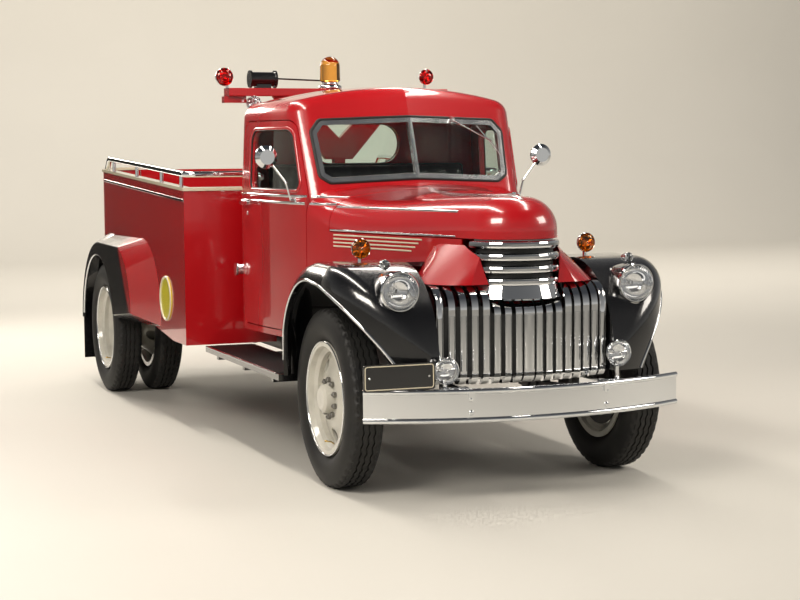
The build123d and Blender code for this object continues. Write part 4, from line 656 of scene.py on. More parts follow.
# %% Wheel nuts, caps and trim rings
NUT_RING_R, NUT_ACROSS, NUT_DEEP = 0.095, 0.024, 0.018
RIM_EDGE_R = 0.290


def nut(shape, centre, along, across=NUT_ACROSS, deep=NUT_DEEP, stud=0.006):
    """A hexagon nut with chamfered corners and the end of its stud."""
    axis = Vector(along).normalized()
    corner = across / 2 / cos(pi / 6)
    turned(shape, ((0.0, corner), (deep * 0.82, corner), (deep, corner * 0.82), (deep, 0.0)), centre, axis, 6)
    if stud:
        tip = Vector(centre) + axis * deep
        turned(shape, ((0.0, corner * 0.5), (stud * 0.8, corner * 0.5), (stud, corner * 0.4), (stud, 0.0)),
               tip, axis, 12)


# Columns: body, hub x and y, then from the wheel's centre plane: face of the nuts, start of the cap;
# the cap's radius and depth
WHEEL_TRIM = (
    ("wheel_front_", FRONT_X, FRONT_Y, 0.0485, 0.0525, 0.056, 0.030),
    ("wheels_rear_", REAR_X, OUTER_Y, -0.1455, -0.0495, 0.060, 0.018),
)
for side, sign in SIDES:
    for body, x, y, nut_at, cap_at, cap_r, cap_deep in WHEEL_TRIM:
        out = Vector((0, sign, 0))
        hub = Vector((x, sign * y, TYRE_R))
        shape = bmesh.new()
        for place in hoop(hub + out * nut_at, NUT_RING_R, 10, 0.5):
            nut(shape, place, out)
        piece(f"{body}{side}_nuts", shape, "bare steel", 30, body + side)
        foot = [(cap_at - 0.010, cap_r + 0.004), (cap_at, cap_r + 0.004)]
        cap = foot + dome(cap_at, cap_deep, cap_r, 10, 0.6)
        turned_piece(f"{body}{side}_cap", cap, hub, out, 48, "chrome plate", 50, body + side)
        rod_piece(f"{body}{side}_rim_bead", hoop(hub + out * 0.0765, RIM_EDGE_R - 0.002, 96), 0.0045, 8,
                  "chrome plate", body=body + side)
        # The valve stem comes through the rim and leans outwards
        shape = bmesh.new()
        low = hub + Vector((0, 0, -0.234)) + out * 0.030
        tip = low + Vector((0, 0, 0.016))
        bent_rod(shape, (low, low + Vector((0, 0, 0.010)) + out * 0.014, tip + out * 0.040), 0.004, 8)
        turned(shape, ((0.0, 0.0055), (0.012, 0.0055), (0.014, 0.0035), (0.014, 0.0)), tip + out * 0.036,
               out, 10)
        piece(f"{body}{side}_valve", shape, "polished brass", 50, body + side)
    # The cast drum behind the disc gets black paint as painted shade, so that the hand holes of the front
    # wheels look dark
    drum = ((0.0306, 0.158), (0.0108, 0.1788), (-0.044, 0.1788), (-0.044, 0.222), (-0.052, 0.222),
            (-0.052, 0.150))
    turned_piece(f"brake_drum_{side}", drum, (FRONT_X, sign * FRONT_Y, TYRE_R), (0, sign, 0), 72,
                 "chassis paint", 40, f"wheel_front_{side}")

# %% [markdown]
# ## Lamps
# Each lamp body is a plated bowl. Its lens is a shallow dome of pressed glass held by a rim, so
# every lens here is turned a little proud of the bowl and given a rim of its own.

# %% Round lamps
def round_lamp(name, centre, radius, depth, bulge, glass, stem):
    """A plated bowl with a rolled rim, a bright reflector, a bulb and a pressed lens, facing forward."""
    ahead = (1, 0, 0)
    lens_r = radius * 0.925
    bowl = dome(0, -depth, radius)[::-1]
    lip = [(0.0025, radius), (0.0045, radius * 0.97), (0.003, radius * 0.935), (-0.003, lens_r)]
    inside = dome(0, -depth * 0.75, lens_r)[1:]
    shape = bmesh.new()
    turned(shape, bowl + lip + inside, centre, ahead, 40)
    bent_rod(shape, stem[:2], stem[2], 12)
    made = piece(name + "_bowl", shape, "chrome plate", 50)
    lens = dome(0, bulge, lens_r, 9)[::-1] + dome(-0.003, bulge, radius * 0.915, 9)
    turned_piece(name + "_lens", lens, centre, ahead, 40, glass, 60)
    bulb = [(-depth * 0.6 + radius * 0.5 * (1 - cos(radians(a))), radius * 0.16 * sin(radians(a)) ** 0.7)
            for a in range(0, 181, 20)]
    turned_piece(name + "_bulb", bulb, centre, ahead, 16, "pressed clear glass", 60)
    return made


# Columns: name, centre of the left one, radius, depth, bulge of the lens, glass, height of the stem's foot,
# radius of the stem
PAIRED_LAMPS = (
    ("stalk_lamp", (2.046, 0.636, 1.204), 0.052, 0.046, 0.016, "amber glass", 1.142, 0.011),
    ("parking_lamp", (2.462, 0.664, 1.147), 0.025, 0.070, 0.014, "pressed clear glass", 1.130, 0.011),
)
for name, (x, left_y, z), radius, depth, bulge, glass, foot, stem_r in PAIRED_LAMPS:
    for side, sign in SIDES:
        stem_x, y = x - depth * 0.4, sign * left_y
        made = round_lamp(f"{name}_{side}", (x, y, z), radius, depth, bulge, glass,
                          ((stem_x, y, foot), (stem_x, y, z), stem_r))
        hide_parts("small_lamps")
FOG_STEM_X, FOG_Y = 2.722, 0.462
for side, sign, z in (("right", -1, 0.652), ("left", 1, 0.695)):
    y = sign * FOG_Y
    round_lamp(f"fog_lamp_{side}", (2.745, y, z), 0.066, 0.062, 0.020, "pressed clear glass",
               ((FOG_STEM_X, y, 0.565), (FOG_STEM_X, y, z - 0.040), 0.010))
    shape = bmesh.new()
    near_y, far_y = sorted((sign * 0.345, sign * 0.480))
    block(shape, (2.700, near_y, 0.560), (2.745, far_y, 0.568), 0.0015)
    nut(shape, (FOG_STEM_X, y, 0.568), (0, 0, 1), 0.020, 0.010, 0)
    piece(f"fog_lamp_{side}_iron", shape, "chrome plate", 30)
# Columns: name, centre, radius, depth, height of the stem's foot, glass
RACK_LAMPS = (
    ("warning_lamp_left", (-0.100, 0.594, 2.158), 0.050, 0.056, 2.080, "red glass"),
    ("warning_lamp_right", (-0.100, -0.735, 2.148), 0.056, 0.080, 2.080, "red glass"),
    ("plank_lamp_front", (-0.030, -0.570, 1.985), 0.048, 0.060, 2.030, "pressed clear glass"),
)
PLANK_END_Y = -0.708
for name, (x, y, z), radius, depth, foot, glass in RACK_LAMPS:
    # The right lamp hangs over the plank's end, so its stem stands inside of its centre
    stem_x, stem_y = x - depth * 0.5, max(y, PLANK_END_Y)
    made = round_lamp(name, (x, y, z), radius, depth, radius * 0.35, glass,
                      ((stem_x, stem_y, foot), (stem_x, stem_y, z), 0.009))
    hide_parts("rack_lamps")
base = ((0, 0), (0, 0.046), (0.010, 0.046), (0.013, 0.041), (0.013, 0.0))
lens = [(0.012, 0.0), (0.012, 0.040)] + dome(0.013, 0.015, 0.040)
for side, sign in SIDES:
    for part, profile, *look in (("base", base, "chrome plate", 30), ("lens", lens, "red glass", 60)):
        centre = (-2.500, sign * 0.690, 0.860)
        turned_piece(f"tail_lamp_{side}_{part}", profile, centre, (-1, 0, 0), 40, *look)

# %% [markdown]
# Three things finish the lamps: a bulb behind each headlamp's glass, two plated collars that
# clamp the beacon's dome, and the wire guard over the mouth of the siren.

# %% Headlamp bulbs, beacon collars and siren guard
bulb = [(0.0, 0.012), (0.022, 0.012)] + dome(0.022, 0.014, 0.014, 15, 0.6)
for side, sign in SIDES:
    turned_piece(f"headlamp_bulb_{side}", bulb, (2.512, sign * 0.637, 1.025), (1, 0, 0), 20,
                 "pressed clear glass", 60)
BEACON = (-0.110, -0.050, 2.102)
shape = bmesh.new()
turned(shape, ((0.0, 0.0505), (0.004, 0.054), (0.012, 0.0515), (0.018, 0.0515), (0.022, 0.054),
               (0.0255, 0.0515)), BEACON, (0, 0, 1), 48)
turned(shape, ((-0.022, 0.0725), (-0.016, 0.0735), (-0.008, 0.0735), (-0.001, 0.066)), BEACON, (0, 0, 1), 48)
piece("beacon_collars", shape, "chrome plate", 60)
shape = bmesh.new()
SIREN_FACE = (-0.110, -0.404, 2.136)
for spoke in zip(hoop(SIREN_FACE, 0.0405, 10), hoop(SIREN_FACE, 0.008, 10)):
    bent_rod(shape, spoke, 0.002, 6)
for ring_r in (0.014, 0.026, 0.0385):
    bent_rod(shape, hoop(SIREN_FACE, ring_r, 40), 0.0018, 6, True)
piece("siren_grille", shape, "chrome plate", 60)

# %% [markdown]
# ## Mouldings, beads and seals
# Bright half-oval strips hide the panel joints and lead the eye along the truck. Each one is
# laid on the panels by casting rays onto them, and it is cut where the doors and the hood part.

# %% Belt mouldings of the cab, doors and cowl
BELT_HEIGHTS = (1.408, 1.446)
# Columns: body, panel, first x, last x
BELT_RUNS = (
    ("chassis", "cab_back", 0.345, 0.200),
    ("door_{side}", "door_{side}", 1.183, 0.366),
    ("chassis", "cab_front", 1.395, 1.202),
)
for side, sign in SIDES:
    for body, panel, first_x, last_x in BELT_RUNS:
        body, panel = body.format(side=side), panel.format(side=side)
        for k, z in enumerate(BELT_HEIGHTS):
            line = level(first_x, last_x, z, 24)
            side_moulding(f"belt_{panel}_{side}_{k}", [panel], sign, line, 0.0085, 0.55, "chrome plate", body)
# Round the back of the cab
for k, z in enumerate(BELT_HEIGHTS):
    starts = [(-0.8, y, z) for y in run_of(-0.60, 0.60, 30)]
    moulding(f"belt_back_{k}", ["cab_back"], starts, (1, 0, 0), 0.0085, 0.55)

# %% [markdown]
# The hood has a bead along its spine, where its two halves were once hinged, one along each
# side, and a lip that covers the joint with the side panels. Four pale flashes, each a little
# shorter than the one above, end in a slant.

# %% Beads and flashes of the hood
starts = [(x, 0, 2.2) for x in run_of(1.412, 2.600, 40)]
moulding("hood_spine", ["hood"], starts, (0, 0, -1), 0.011, 0.7, "chrome plate", "hood")
for side, sign in SIDES:
    bead, lip = level(1.412, 2.380, 1.395, 36), level(1.412, 2.400, 1.2715, 36)
    side_moulding(f"hood_bead_{side}", ["hood"], sign, bead, 0.0080, 0.6, "chrome plate", "hood")
    side_moulding(f"hood_lip_{side}", ["hood", "hood_sides"], sign, lip, 0.0050, 0.6, "chrome plate", "hood")
# Columns: height, front end of the strip
FLASHES = ((1.246, 2.150), (1.226, 2.125), (1.206, 2.100), (1.186, 2.070))
for side, sign in SIDES:
    for k, (z, front_x) in enumerate(FLASHES):
        line = level(1.440, front_x, z, 24)
        side_moulding(f"hood_flash_{side}_{k}", ["hood_sides"], sign, line, 0.0042, 0.6, "cream enamel")

# %% [markdown]
# Glass sits in rubber. The rings are drawn as flat outlines with round corners, split into
# short steps, and then laid on the door or the cab by rays, so they bend with the panel.

# %% Gaskets and frames of the windows
def outline_points(corners, radii, steps=7):
    """A closed outline with rounded corners, from its corners in order and a radius for each."""
    points = []
    for k, (corner, radius) in enumerate(zip(corners, radii)):
        here = Vector(corner)
        before = (Vector(corners[k - 1]) - here).normalized()
        after = (Vector(corners[(k + 1) % len(corners)]) - here).normalized()
        half = before.angle(after) / 2
        middle = here + (before + after).normalized() * (radius / sin(half))
        first = here + before * (radius / tan(half)) - middle
        last = here + after * (radius / tan(half)) - middle
        sweep = first.angle_signed(last)
        for s in range(steps + 1):
            angle = -sweep * s / steps
            points.append((middle.x + first.x * cos(angle) - first.y * sin(angle),
                           middle.y + first.x * sin(angle) + first.y * cos(angle)))
    return points


def spread(points, step):
    """The same closed outline with points no further apart than step."""
    out = []
    for a, b in zip(points, points[1:] + points[:1]):
        pieces = max(1, int(hypot(b[0] - a[0], b[1] - a[1]) / step))
        out += [(a[0] + (b[0] - a[0]) * s / pieces, a[1] + (b[1] - a[1]) * s / pieces) for s in range(pieces)]
    return out


def round_rectangle(low, high, radius, step, steps=7):
    """A rectangle's outline with round corners."""
    corners = (low, (high[0], low[1]), high, (low[0], high[1]))
    return spread(outline_points(corners, (radius,) * 4, steps), step)


WINDOW = spread(outline_points(((0.490, 1.482), (1.128, 1.482), (1.008, 1.815), (0.490, 1.815)),
                               (0.042, 0.042, 0.078, 0.078)), 0.05)
MID_X, MID_Z = 0.78, 1.65
# Columns: name, growth from the window's outline, radius, flatness, finish
WINDOW_RINGS = (("frame", 1.045, 0.0105, 0.7, "red enamel"), ("gasket", 1.004, 0.0055, 0.9, "seal rubber"))
for side, sign in SIDES:
    door = f"door_{side}"
    for name, grow, radius, flat, material in WINDOW_RINGS:
        ring = [(MID_X + (x - MID_X) * grow, MID_Z + (z - MID_Z) * (grow * 1.02 - 0.02)) for x, z in WINDOW]
        side_moulding(f"{door}_window_{name}", [door], sign, ring, radius, flat, material, door, closed=True)
SCREEN = ((0, 1.545), (0.500, 1.524), (0.556, 1.560), (0.572, 1.800), (0.520, 1.862), (0, 1.880))
SCREEN_RADII = (0.4,) + (0.032,) * 4
screen_ring = list(SCREEN) + [(-y, z) for y, z in reversed(SCREEN[1:-1])]
edge = spread(outline_points(screen_ring, SCREEN_RADII * 2, 5), 0.05)
starts = [(2.4, y * 1.012, 1.70 + (z - 1.70) * 1.035) for y, z in edge]
moulding("windscreen_gasket", ["cab_front", "cab_roof", "windscreen_frame"], starts, (-1, 0, 0), 0.0085,
         0.8, "seal rubber", closed=True)
REAR = round_rectangle((-0.286, 1.609), (0.286, 1.861), 0.121, 0.04)
moulding("rear_window_gasket", ["cab_back", "cab_roof"], [(-0.8, y, z) for y, z in REAR], (1, 0, 0), 0.0095,
         0.8, "seal rubber", closed=True)

# %% [markdown]
# A rolled edge stiffens each wheel opening, and a bright strip covers it. The opening is two
# arcs that share one point over the wheel, as the fender was cut.

# %% Fender lips
FRONT_ARCH = ((-0.440, 0.600), (-0.318, 0.925), (0.050, 1.036), (0.405, 0.912), (0.590, 0.600))


def arch_edge(rows, hub_x, out, steps=24):
    """The two arcs of a wheel opening, moved outwards from the hub."""
    points = [(hub_x + dx, z) for dx, z in rows]
    edge = arc_points(*points[:3], steps) + arc_points(*points[2:], steps)[1:]
    reaches = [hypot(x - hub_x, z - TYRE_R) for x, z in edge]
    return [(x + (x - hub_x) / reach * out, z + (z - TYRE_R) / reach * out)
            for (x, z), reach in zip(edge, reaches)]


ARCH_R = 0.520
REAR_ARCH = [(ARCH_R * across, TYRE_R + high) for across, high in
             ((-1, 0.03), (-0.72, ARCH_R * 0.70), (0, ARCH_R), (0.72, ARCH_R * 0.70), (1, 0.03))]
# Columns: solid, rows of the opening, hub x, outward shift, radius of the strip, how proud it stands
LIPS = (("front_fenders", FRONT_ARCH, FRONT_X, 0.009, 0.0080, 0.0),
        ("rear_fenders", REAR_ARCH, REAR_X, 0.002, 0.0110, -0.0078))
for side, sign in SIDES:
    for node, rows, hub_x, out, radius, proud in LIPS:
        line = arch_edge(rows, hub_x, out)
        side_moulding(f"{node}_lip_{side}", [node], sign, line, radius, 0.7, proud=proud)

# %% [markdown]
# ## Caps, discs, plates and steps
# The hose body's wall has a cream cap; the bright rail above it shares its solid, so the cap gets
# its colour from a thin cover that follows the solid's own faces.

# %% Cap cover, body bead and discs
BODY_TOP, BODY_FRONT_X, BODY_RAKE, COVER_LIFT = 1.461, 0.086, 0.0389, 0.0006


def cover(name, node, material, choose):
    """A thin skin over the chosen faces of a solid, lifted along their normals."""
    mesh = nodes[node].data
    shape = bmesh.new()
    shape.from_mesh(mesh)
    bmesh.ops.remove_doubles(shape, verts=shape.verts, dist=1e-6)
    shape.normal_update()
    bmesh.ops.delete(shape, geom=[f for f in shape.faces if not choose(f)], context="FACES")
    shape.normal_update()
    for vert in shape.verts:
        vert.co += vert.normal * COVER_LIFT
    piece(name, shape, material, 30)


def wall_top(x):
    """Height of the hose body's raked top."""
    return BODY_TOP + (BODY_FRONT_X - x) * BODY_RAKE


cover("wall_cap", "body_rails", "cream enamel",
      lambda f: f.calc_center_median().z < wall_top(f.calc_center_median().x) + 0.0185)
for side, sign in SIDES:
    side_moulding(f"body_bead_{side}", ["body_sides", "body_front_wall", "body_rear_wall"], sign,
                  [(x, wall_top(x) - 0.060) for x in run_of(0.080, -2.190, 60)], 0.009, 0.5)
    # Yellow disc: a pale raised border
    face_y = touch("side_discs", (-0.340, sign * 1.350, 0.830), (0, -sign, 0))[0].y
    rod_piece(f"disc_border_{side}", hoop((-0.390, face_y, 0.780), 0.134, 72), 0.0075, 10, "cream enamel")

# %% [markdown]
# The number plate stays blank: a pale border on black, and one plated screw at each end.

# %% Number plate
PLATE_X, PLATE_Y, PLATE_Z, PLATE_W, PLATE_H = 2.7545, -0.705, 0.636, 0.362, 0.128
half_w, half_h = PLATE_W / 2 - 0.009, PLATE_H / 2 - 0.009
border = round_rectangle((-half_w, -half_h), (half_w, half_h), 0.012, 0.05)
rod_piece("plate_border", [(PLATE_X, PLATE_Y + y, PLATE_Z + z) for y, z in border], 0.0028, 8, "cream enamel")
shape = bmesh.new()
for sign in (-1, 1):
    nut(shape, (PLATE_X - 0.001, PLATE_Y + sign * 0.150, PLATE_Z), (1, 0, 0), 0.010, 0.004, 0)
piece("plate_screws", shape, "chrome plate", 30)

# %% [markdown]
# A wet step must not be slippery, so the running boards carry ribbed rubber mats with a pale
# edge strip that shows where the step ends, and the tailboard has raised bars.

# %% Steps and the filler's cap
BOARD_TOP = 0.520
for side, sign in SIDES:
    shape = bmesh.new()
    low_y, high_y = sorted((sign * 0.640, sign * 0.905))
    block(shape, (0.100, low_y, BOARD_TOP), (1.500, high_y, BOARD_TOP + 0.003), 0.001)
    for y in run_of(low_y + 0.008, high_y - 0.008, 22):
        block(shape, (0.104, y - 0.0028, BOARD_TOP + 0.0025), (1.496, y + 0.0028, BOARD_TOP + 0.0065), 0.001)
    piece(f"board_mat_{side}", shape, "seal rubber", 30)
    edge = [(x, sign * 0.9215, BOARD_TOP - 0.002) for x in run_of(0.085, 1.500, 6)]
    rod_piece(f"board_edge_{side}", edge, 0.0065, 10, "cast aluminium", closed=False)
# Plated cap over the fuel filler's neck
cap = ((0.001, 0.036), (0.004, 0.0335), (0.042, 0.0325), (0.0425, 0.0385), (0.050, 0.0395), (0.058, 0.0380),
       (0.0610, 0.0300), (0.0625, 0.0))
turned_piece("filler_cap", cap, (0.305, -0.7405, 0.998), (0, -1, 0), 40, "chrome plate", 30)
# Tailboard: raised bars against slipping
shape = bmesh.new()
for x in run_of(-2.830, -2.626, 9):
    block(shape, (x - 0.004, -0.78, 0.4695), (x + 0.004, 0.78, 0.4735), 0.0015)
piece("tailboard_bars", shape, "cast aluminium", 30)

# %% [markdown]
# ## The grille
# Behind the bright bars the real truck lies in shade: air goes through to the radiator. A black sheet close
# behind the bars is painted shade, which also keeps the shelves between them from catching light.

# %% Painted shade behind the grille, and rounded bars
def painted_shade_sheet(name, low, high):
    """A thin black skin of painted shade between a low and a high edge."""
    shape = bmesh.new()
    low, high = ([shape.verts.new(c) for c in edge] for edge in (low, high))
    for corners in zip(low, low[1:], high[1:], high):
        shape.faces.new(corners)
    piece(name, shape, "seal rubber", 60)


NOSE_X, SHADOW_R = 2.460, 0.215
arc = [(NOSE_X + SHADOW_R * cos(radians(a)), SHADOW_R * sin(radians(a))) for a in range(-76, 77, 4)]
# Black sheets of painted shade behind the upper and the lower grille
painted_shade_sheet("upper_grille_shadow", [(x, y, 1.042) for x, y in arc], [(x, y, 1.258) for x, y in arc])
GRILLE_X, GRILLE_PLAN_R, SHADOW_IN = 2.690, 1.270, 0.014
arc = [(GRILLE_X - GRILLE_PLAN_R - SHADOW_IN + sqrt(GRILLE_PLAN_R ** 2 - y * y), y)
       for y in run_of(-0.432, 0.432, 25)]
painted_shade_sheet("lower_grille_shadow", [(x, y, 0.600) for x, y in arc],
        [(x, y, 0.945 if abs(y) > 0.2 else 0.905) for x, y in arc])
# Each upright bar gets a half-round crown from its foot to its bent head; the middle bar is wider
BARS, BAR_PITCH, BAR_R, MIDDLE_BAR_R = 17, 0.055, 0.0168, 0.028
for k in range(BARS):
    y = (k - (BARS - 1) / 2) * BAR_PITCH
    wide = MIDDLE_BAR_R if abs(y) < 0.001 else BAR_R
    starts = [((2.9, y, z), (-1, 0, 0)) for z in run_of(0.632, 0.900, 12)]
    if abs(y) > 0.2:
        starts += [((GRILLE_X - 0.07 * j / 6, y, 1.20), (-0.25, 0, -1)) for j in (3, 4, 5)]
    places, lifts = [], []
    for start, direction in starts:
        place, normal = touch("lower_grille", start, direction)
        if place is not None and place.x > 2.52 and (not places or (place - places[-1]).length < 0.09):
            places.append(place - normal * 0.0035)
            lifts.append(normal)
    shape = bmesh.new()
    bent_rod(shape, places, wide, 14, False, 0.62, lifts)
    piece(f"grille_crown_{k:02d}", shape, "chrome plate", 60)
ROUNDED = {"lower_grille": 0.0060, "upper_grille": 0.0045, "hood_sides": 0.0120, "rear_fenders": 0.0300}
for node, width in ROUNDED.items():
    rounded = nodes[node].modifiers.new("rounded edges", "BEVEL")
    rounded.width = width
    rounded.segments = 4
    rounded.limit_method = "ANGLE"
    rounded.angle_limit = radians(40)

# %% [markdown]
# ## Mirrors and locks
# The mirror's silvered glass sits in a chrome bowl, and a plated lock sits beside each handle.

# %% Mirror glass and keyholes
glass = [(0.0, 0.0585)] + dome(0.0012, 0.0018, 0.0575)
lock = ((-0.002, 0.013), (0.002, 0.013), (0.004, 0.010), (0.004, 0.004), (0.001, 0.004), (0.001, 0.0))
for side, sign in SIDES:
    door = f"door_{side}"
    at = touch(f"door_fittings_{side}", (0.782, sign * 0.835, 1.664), (1, 0, 0))[0]
    turned_piece(f"mirror_glass_{side}", glass, at, (-1, 0, 0), 48, "mirror silver", 60, door)
    at = touch(door, (0.425, sign * 1.2, 1.335), (0, -sign, 0))[0]
    turned_piece(f"door_lock_{side}", lock, at, (0, sign, 0), 20, "chrome plate", 40, door)

# %% [markdown]
# ## The cab inside
# A bench with a sprung cushion: leathercloth in wide channels, with piping along its edges. The
# cushion is puffed up so that the channels sink between the stuffing.

# %% Bench seat
CHANNELS = 10


def bench(name, node, corners, thick, half_wide, puff):
    """A padded slab between two corners of its side view, swelling between the seams along it."""
    (ax, az), (bx, bz) = corners
    along = Vector((bx - ax, 0, bz - az))
    reach = along.length
    along.normalize()
    outwards = Vector((-along.z, 0, along.x))
    if outwards.z < -0.3 or (abs(outwards.z) <= 0.3 and outwards.x < 0):
        outwards = -outwards
    corner = min(thick * 0.32, 0.04)
    nu, nv = 14, CHANNELS * 6
    shape = bmesh.new()
    grid = {}
    for top in (1, 0):
        for i in range(nu + 1):
            for j in range(nv + 1):
                u, v = i / nu * reach, j / nv * 2 * half_wide
                near = min(u, reach - u, v, 2 * half_wide - v)
                rounded = corner - sqrt(max(0.0, corner ** 2 - max(0.0, corner - near) ** 2))
                swell = puff * abs(sin(pi * j / nv * CHANNELS)) ** 0.6 * min(1.0, near / 0.05)
                lift = thick - puff - rounded + swell if top else rounded * 0.4
                foot = Vector((ax, v - half_wide, az))
                grid[top, i, j] = shape.verts.new(foot + along * u + outwards * lift)
    for top in (1, 0):
        for i in range(nu):
            for j in range(nv):
                shape.faces.new([grid[top, i + a, j + b] for a, b in ((0, 0), (1, 0), (1, 1), (0, 1))])
    rim = ([(i, 0) for i in range(nu)] + [(nu, j) for j in range(nv)] + [(i, nv) for i in range(nu, 0, -1)]
           + [(0, j) for j in range(nv, 0, -1)])
    for (a, b), (c, d) in zip(rim, rim[1:] + rim[:1]):
        shape.faces.new((grid[0, a, b], grid[0, c, d], grid[1, c, d], grid[1, a, b]))
    made = piece(name, shape, "black leathercloth", 80)
    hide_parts(node)
    rounder = made.modifiers.new("stuffing", "SUBSURF")
    rounder.levels = rounder.render_levels = 1
    # Piping along the slab's upper edges
    seam = round_rectangle((0.006, -half_wide + 0.006), (reach - 0.006, half_wide - 0.006), 0.02, 0.12, 4)
    line = [Vector((ax, v, az)) + along * u + outwards * (thick - puff - corner * 0.5) for u, v in seam]
    rod_piece(name + "_piping", line, 0.0055, 8, "seal rubber")


bench("seat_cushion_padded", "seat_cushion", ((0.470, 0.998), (0.958, 0.998)), 0.138, 0.606, 0.014)
bench("seat_back_padded", "seat_back", ((0.412, 1.146), (0.342, 1.600)), 0.146, 0.606, 0.014)

# %% [markdown]
# The driver's place gets what a hand or a foot reaches for: dials in plated rings under flat
# glass, turned bakelite knobs, a gear lever, a hand brake and three pedals.

# %% Instruments, knobs, levers and pedals
shape, glass, dial = bmesh.new(), bmesh.new(), bmesh.new()
# Columns: y and radius of each instrument
DIALS = ((0.330, 0.052), (0.205, 0.040), (0.455, 0.040), (0.0, 0.030))
for y, radius in DIALS:
    place, normal = touch("cab_front", (0.95, y, 1.372), (1, 0, 0))
    turned(shape, ((0, radius), (0.008, radius), (0.011, radius - 0.004), (0.006, radius - 0.007),
                   (0.002, radius - 0.007)), place, normal, 40)
    turned(glass, ((0.0065, radius - 0.006), (0.008, radius * 0.5), (0.0085, 0)), place, normal, 40)
    turned(dial, ((0.0015, radius - 0.006), (0.0015, 0)), place, normal, 40)
piece("dial_bezels", shape, "chrome plate", 40)
piece("dial_glasses", glass, "window glass", 60)
piece("dial_faces", dial, "cream enamel", 0)
shape = bmesh.new()
KNOB = ((-0.002, 0.003), (0.012, 0.003), (0.014, 0.008), (0.022, 0.0095), (0.026, 0.006), (0.027, 0))
for y in run_of(-0.42, -0.12, 7):
    turned(shape, KNOB, *touch("cab_front", (0.95, y, 1.335), (1, 0, 0)), 16)
ball = [(-0.020 * cos(radians(a)), 0.020 * sin(radians(a))) for a in range(20, 181, 16)]
turned(shape, [(-0.022, 0.004)] + ball, (1.000, 0.030, 1.150), (0, 0, 1), 20)
piece("dash_knobs", shape, "bakelite", 50)
shape = bmesh.new()
bent_rod(shape, ((1.120, 0.030, 0.745), (1.105, 0.030, 0.90), (1.055, 0.030, 1.05), (1.000, 0.030, 1.140)),
         0.008, 12)
bent_rod(shape, ((1.150, -0.060, 0.745), (1.140, -0.060, 0.95), (1.090, -0.060, 1.080)), 0.007, 12)
piece("gear_and_brake_levers", shape, "chrome plate", 60)
shape = bmesh.new()
for y, wide in ((0.430, 0.060), (0.300, 0.060), (0.190, 0.045)):
    bent_rod(shape, ((1.290, y, 0.760), (1.230, y, 0.830)), 0.008, 10)
    block(shape, (1.206, y - wide / 2, 0.822), (1.222, y + wide / 2, 0.900), 0.004)
piece("pedals", shape, "bare steel", 40)

# %% [markdown]
# ## Fasteners
# Rivets hold the cross members and spring brackets to the frame, and carriage bolts hold the
# planks to their bearers. One function turns the same domed head at every place of a list.

# %% Rivets, plank bolts, U-bolts and tailgate fittings
def heads(name, places, along, radius, high, material, body="chassis"):
    """Round heads at many places, all facing along one direction."""
    shape = bmesh.new()
    for place in places:
        turned(shape, [(-0.001, radius)] + dome(0, high, radius, 30), place, along, 10)
    piece(name, shape, material, 60, body)


PLANKS, PLANK_W, DECK_Z = 12, 0.16217, 1.000
BEARERS, BEARER_STEP, REAR_BEARER_X = 7, 0.3937, -2.396
bolts = []
for k in range(PLANKS):
    y = FIRST_PLANK_Y + k * PLANK_PITCH + PLANK_W / 2
    for i in range(BEARERS):
        # The body's round corners cover the outer planks at the rear bearer
        if abs(y) < 0.80 or i > 0:
            x = REAR_BEARER_X + i * BEARER_STEP
            bolts += [(x, y - 0.045, DECK_Z), (x, y + 0.045, DECK_Z)]
heads("plank_bolts", bolts, (0, 0, 1), 0.008, 0.0025, "bare steel")
for side, sign in SIDES:
    rivets = []
    for x in run_of(-2.50, 1.00, 44):
        for z in (0.590, 0.690):
            place = touch("frame_rails", (x, sign * 0.60, z), (0, -sign, 0))[0]
            if place is not None and abs(place.y) > 0.42:
                rivets.append(place)
    heads(f"frame_rivets_{side}", rivets, (0, sign, 0), 0.009, 0.005, "chassis paint")
# U-bolts over the springs at each axle, with nuts under the plate
# Columns: end, x, y, foot of the legs, top of the legs, half the distance between the two bolts
U_BOLTS = (
    ("front", FRONT_X, 0.355, 0.395, 0.492, 0.050),
    ("rear", REAR_X, 0.500, 0.440, 0.612, 0.055),
)
LEG_Y = 0.036
for side, sign in SIDES:
    for end, x, y, low, high, gap in U_BOLTS:
        shape = bmesh.new()
        for at in (x - gap, x + gap):
            arch = [(-LEG_Y * cos(radians(a)), high + 0.010 * sin(radians(a))) for a in range(30, 180, 30)]
            bend = [(-LEG_Y, low), (-LEG_Y, high)] + arch + [(LEG_Y, high), (LEG_Y, low)]
            bent_rod(shape, [(at, sign * (y + dy), z) for dy, z in bend], 0.007, 8)
            for dy in (-LEG_Y, LEG_Y):
                nut(shape, (at, sign * (y + dy), low + 0.004), (0, 0, -1), 0.020, 0.014)
        piece(f"u_bolts_{side}_{end}", shape, "spring steel", 40)
# Tailgate hinges and grips
HINGES_Y = (-0.52, 0.0, 0.52)
shape = bmesh.new()
for y in HINGES_Y:
    block(shape, (-2.506, y - 0.030, 1.020), (-2.4995, y + 0.030, 1.230), 0.003)
    bent_rod(shape, ((-2.503, y - 0.034, 1.0165), (-2.503, y + 0.034, 1.0165)), 0.0075, 12)
piece("tailgate_straps", shape, "chassis paint", 30, "tailgate")
heads("tailgate_rivets", [(-2.506, y, z) for y in HINGES_Y for z in (1.06, 1.12, 1.18)],
      (-1, 0, 0), 0.008, 0.004, "chassis paint", "tailgate")
shape = bmesh.new()
for sign in (-1, 1):
    bend = ((-2.505, 1.400), (-2.520, 1.400), (-2.520, 1.500), (-2.505, 1.500))
    bent_rod(shape, [(x, sign * 0.690, z) for x, z in bend], 0.006, 10)
piece("tailgate_grips", shape, "chrome plate", 60, "tailgate")
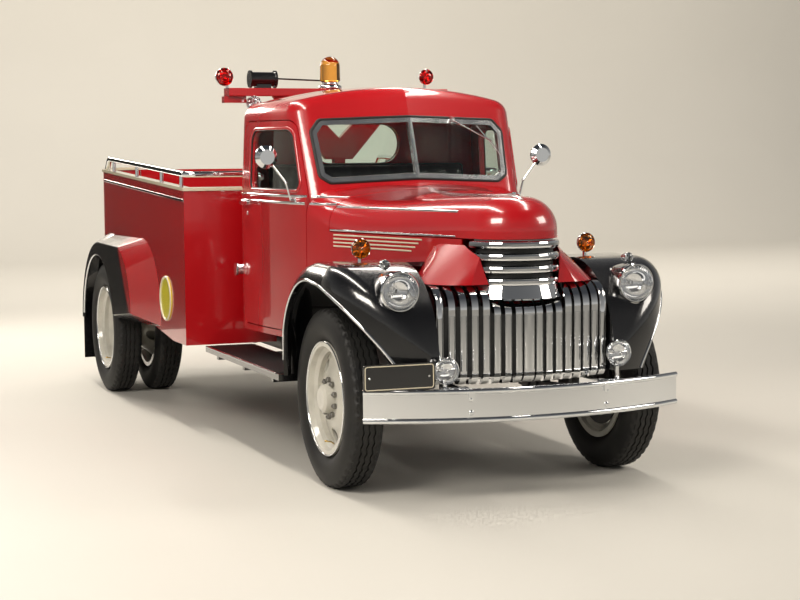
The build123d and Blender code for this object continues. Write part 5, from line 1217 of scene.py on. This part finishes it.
# Bumper bolts
BUMPER_MID_X, BUMPER_R, BUMPER_IN, BUMPER_BOLT_Y = 0.990, 1.860, 0.0085, 0.360
face_x = BUMPER_MID_X + sqrt((BUMPER_R - BUMPER_IN) ** 2 - BUMPER_BOLT_Y ** 2)
shape = bmesh.new()
for sign in (-1, 1):
    for z in (0.455, 0.520):
        turned(shape, [(-0.004, 0.013)] + dome(0, 0.007, 0.013, 15), (face_x, sign * BUMPER_BOLT_Y, z),
               (1, 0, 0), 20)
piece("bumper_bolts", shape, "chrome plate", 60)

# %% [markdown]
# ## The floor
# A plain pale floor that takes the truck's shadow and turns up far behind it.

# %% Floor
def scenery(name, shape, finish_name):
    """A piece of the studio, which isn't part of the truck."""
    mesh = bpy.data.meshes.new(name)
    shape.to_mesh(mesh)
    shape.free()
    made = bpy.data.objects.new(name, mesh)
    scene.collection.objects.link(made)
    give(made, finish_name)
    return made


FLOOR_HALF, TURN_X, TURN_R, WALL_TOP = 30.0, -16.0, 4.0, 12.0
turns = [radians(a) for a in range(10, 91, 10)]
rows = [(FLOOR_HALF, 0.0), (TURN_X, 0.0)] + [(TURN_X - TURN_R * sin(a), TURN_R * (1 - cos(a))) for a in turns]
rows.append((TURN_X - TURN_R, WALL_TOP))
shape = bmesh.new()
line = [[shape.verts.new((x, y, z)) for y in (-FLOOR_HALF, FLOOR_HALF)] for x, z in rows]
for a, b in zip(line, line[1:]):
    shape.faces.new((a[0], b[0], b[1], a[1])).smooth = True
vary(finish("studio floor", "#CFCCC4", 0.55, Specular_IOR_Level=0.25), "#CECBC3", "#D1CEC6", 0.25)
scenery("floor", shape, "studio floor")

# %% [markdown]
# Polished flanks mirror whatever stands beside them. In a real studio a dark card is put out of
# the picture for this, so that the red side mirrors the card instead of the pale floor.

# %% Dark card beside the picture
CARD_X, CARD_NEAR_Y, CARD_FAR_Y, CARD_TOP = -6.0, -1.45, -5.0, 3.4
corners = ((CARD_NEAR_Y, 0.0), (CARD_FAR_Y, 0.0), (CARD_FAR_Y, CARD_TOP), (CARD_NEAR_Y, CARD_TOP))
shape = bmesh.new()
shape.faces.new([shape.verts.new((CARD_X, y, z)) for y, z in corners])
finish("card", "#1C1B1A", 0.9)
card = scenery("dark card", shape, "card")
card.visible_camera = card.visible_diffuse = card.visible_shadow = False
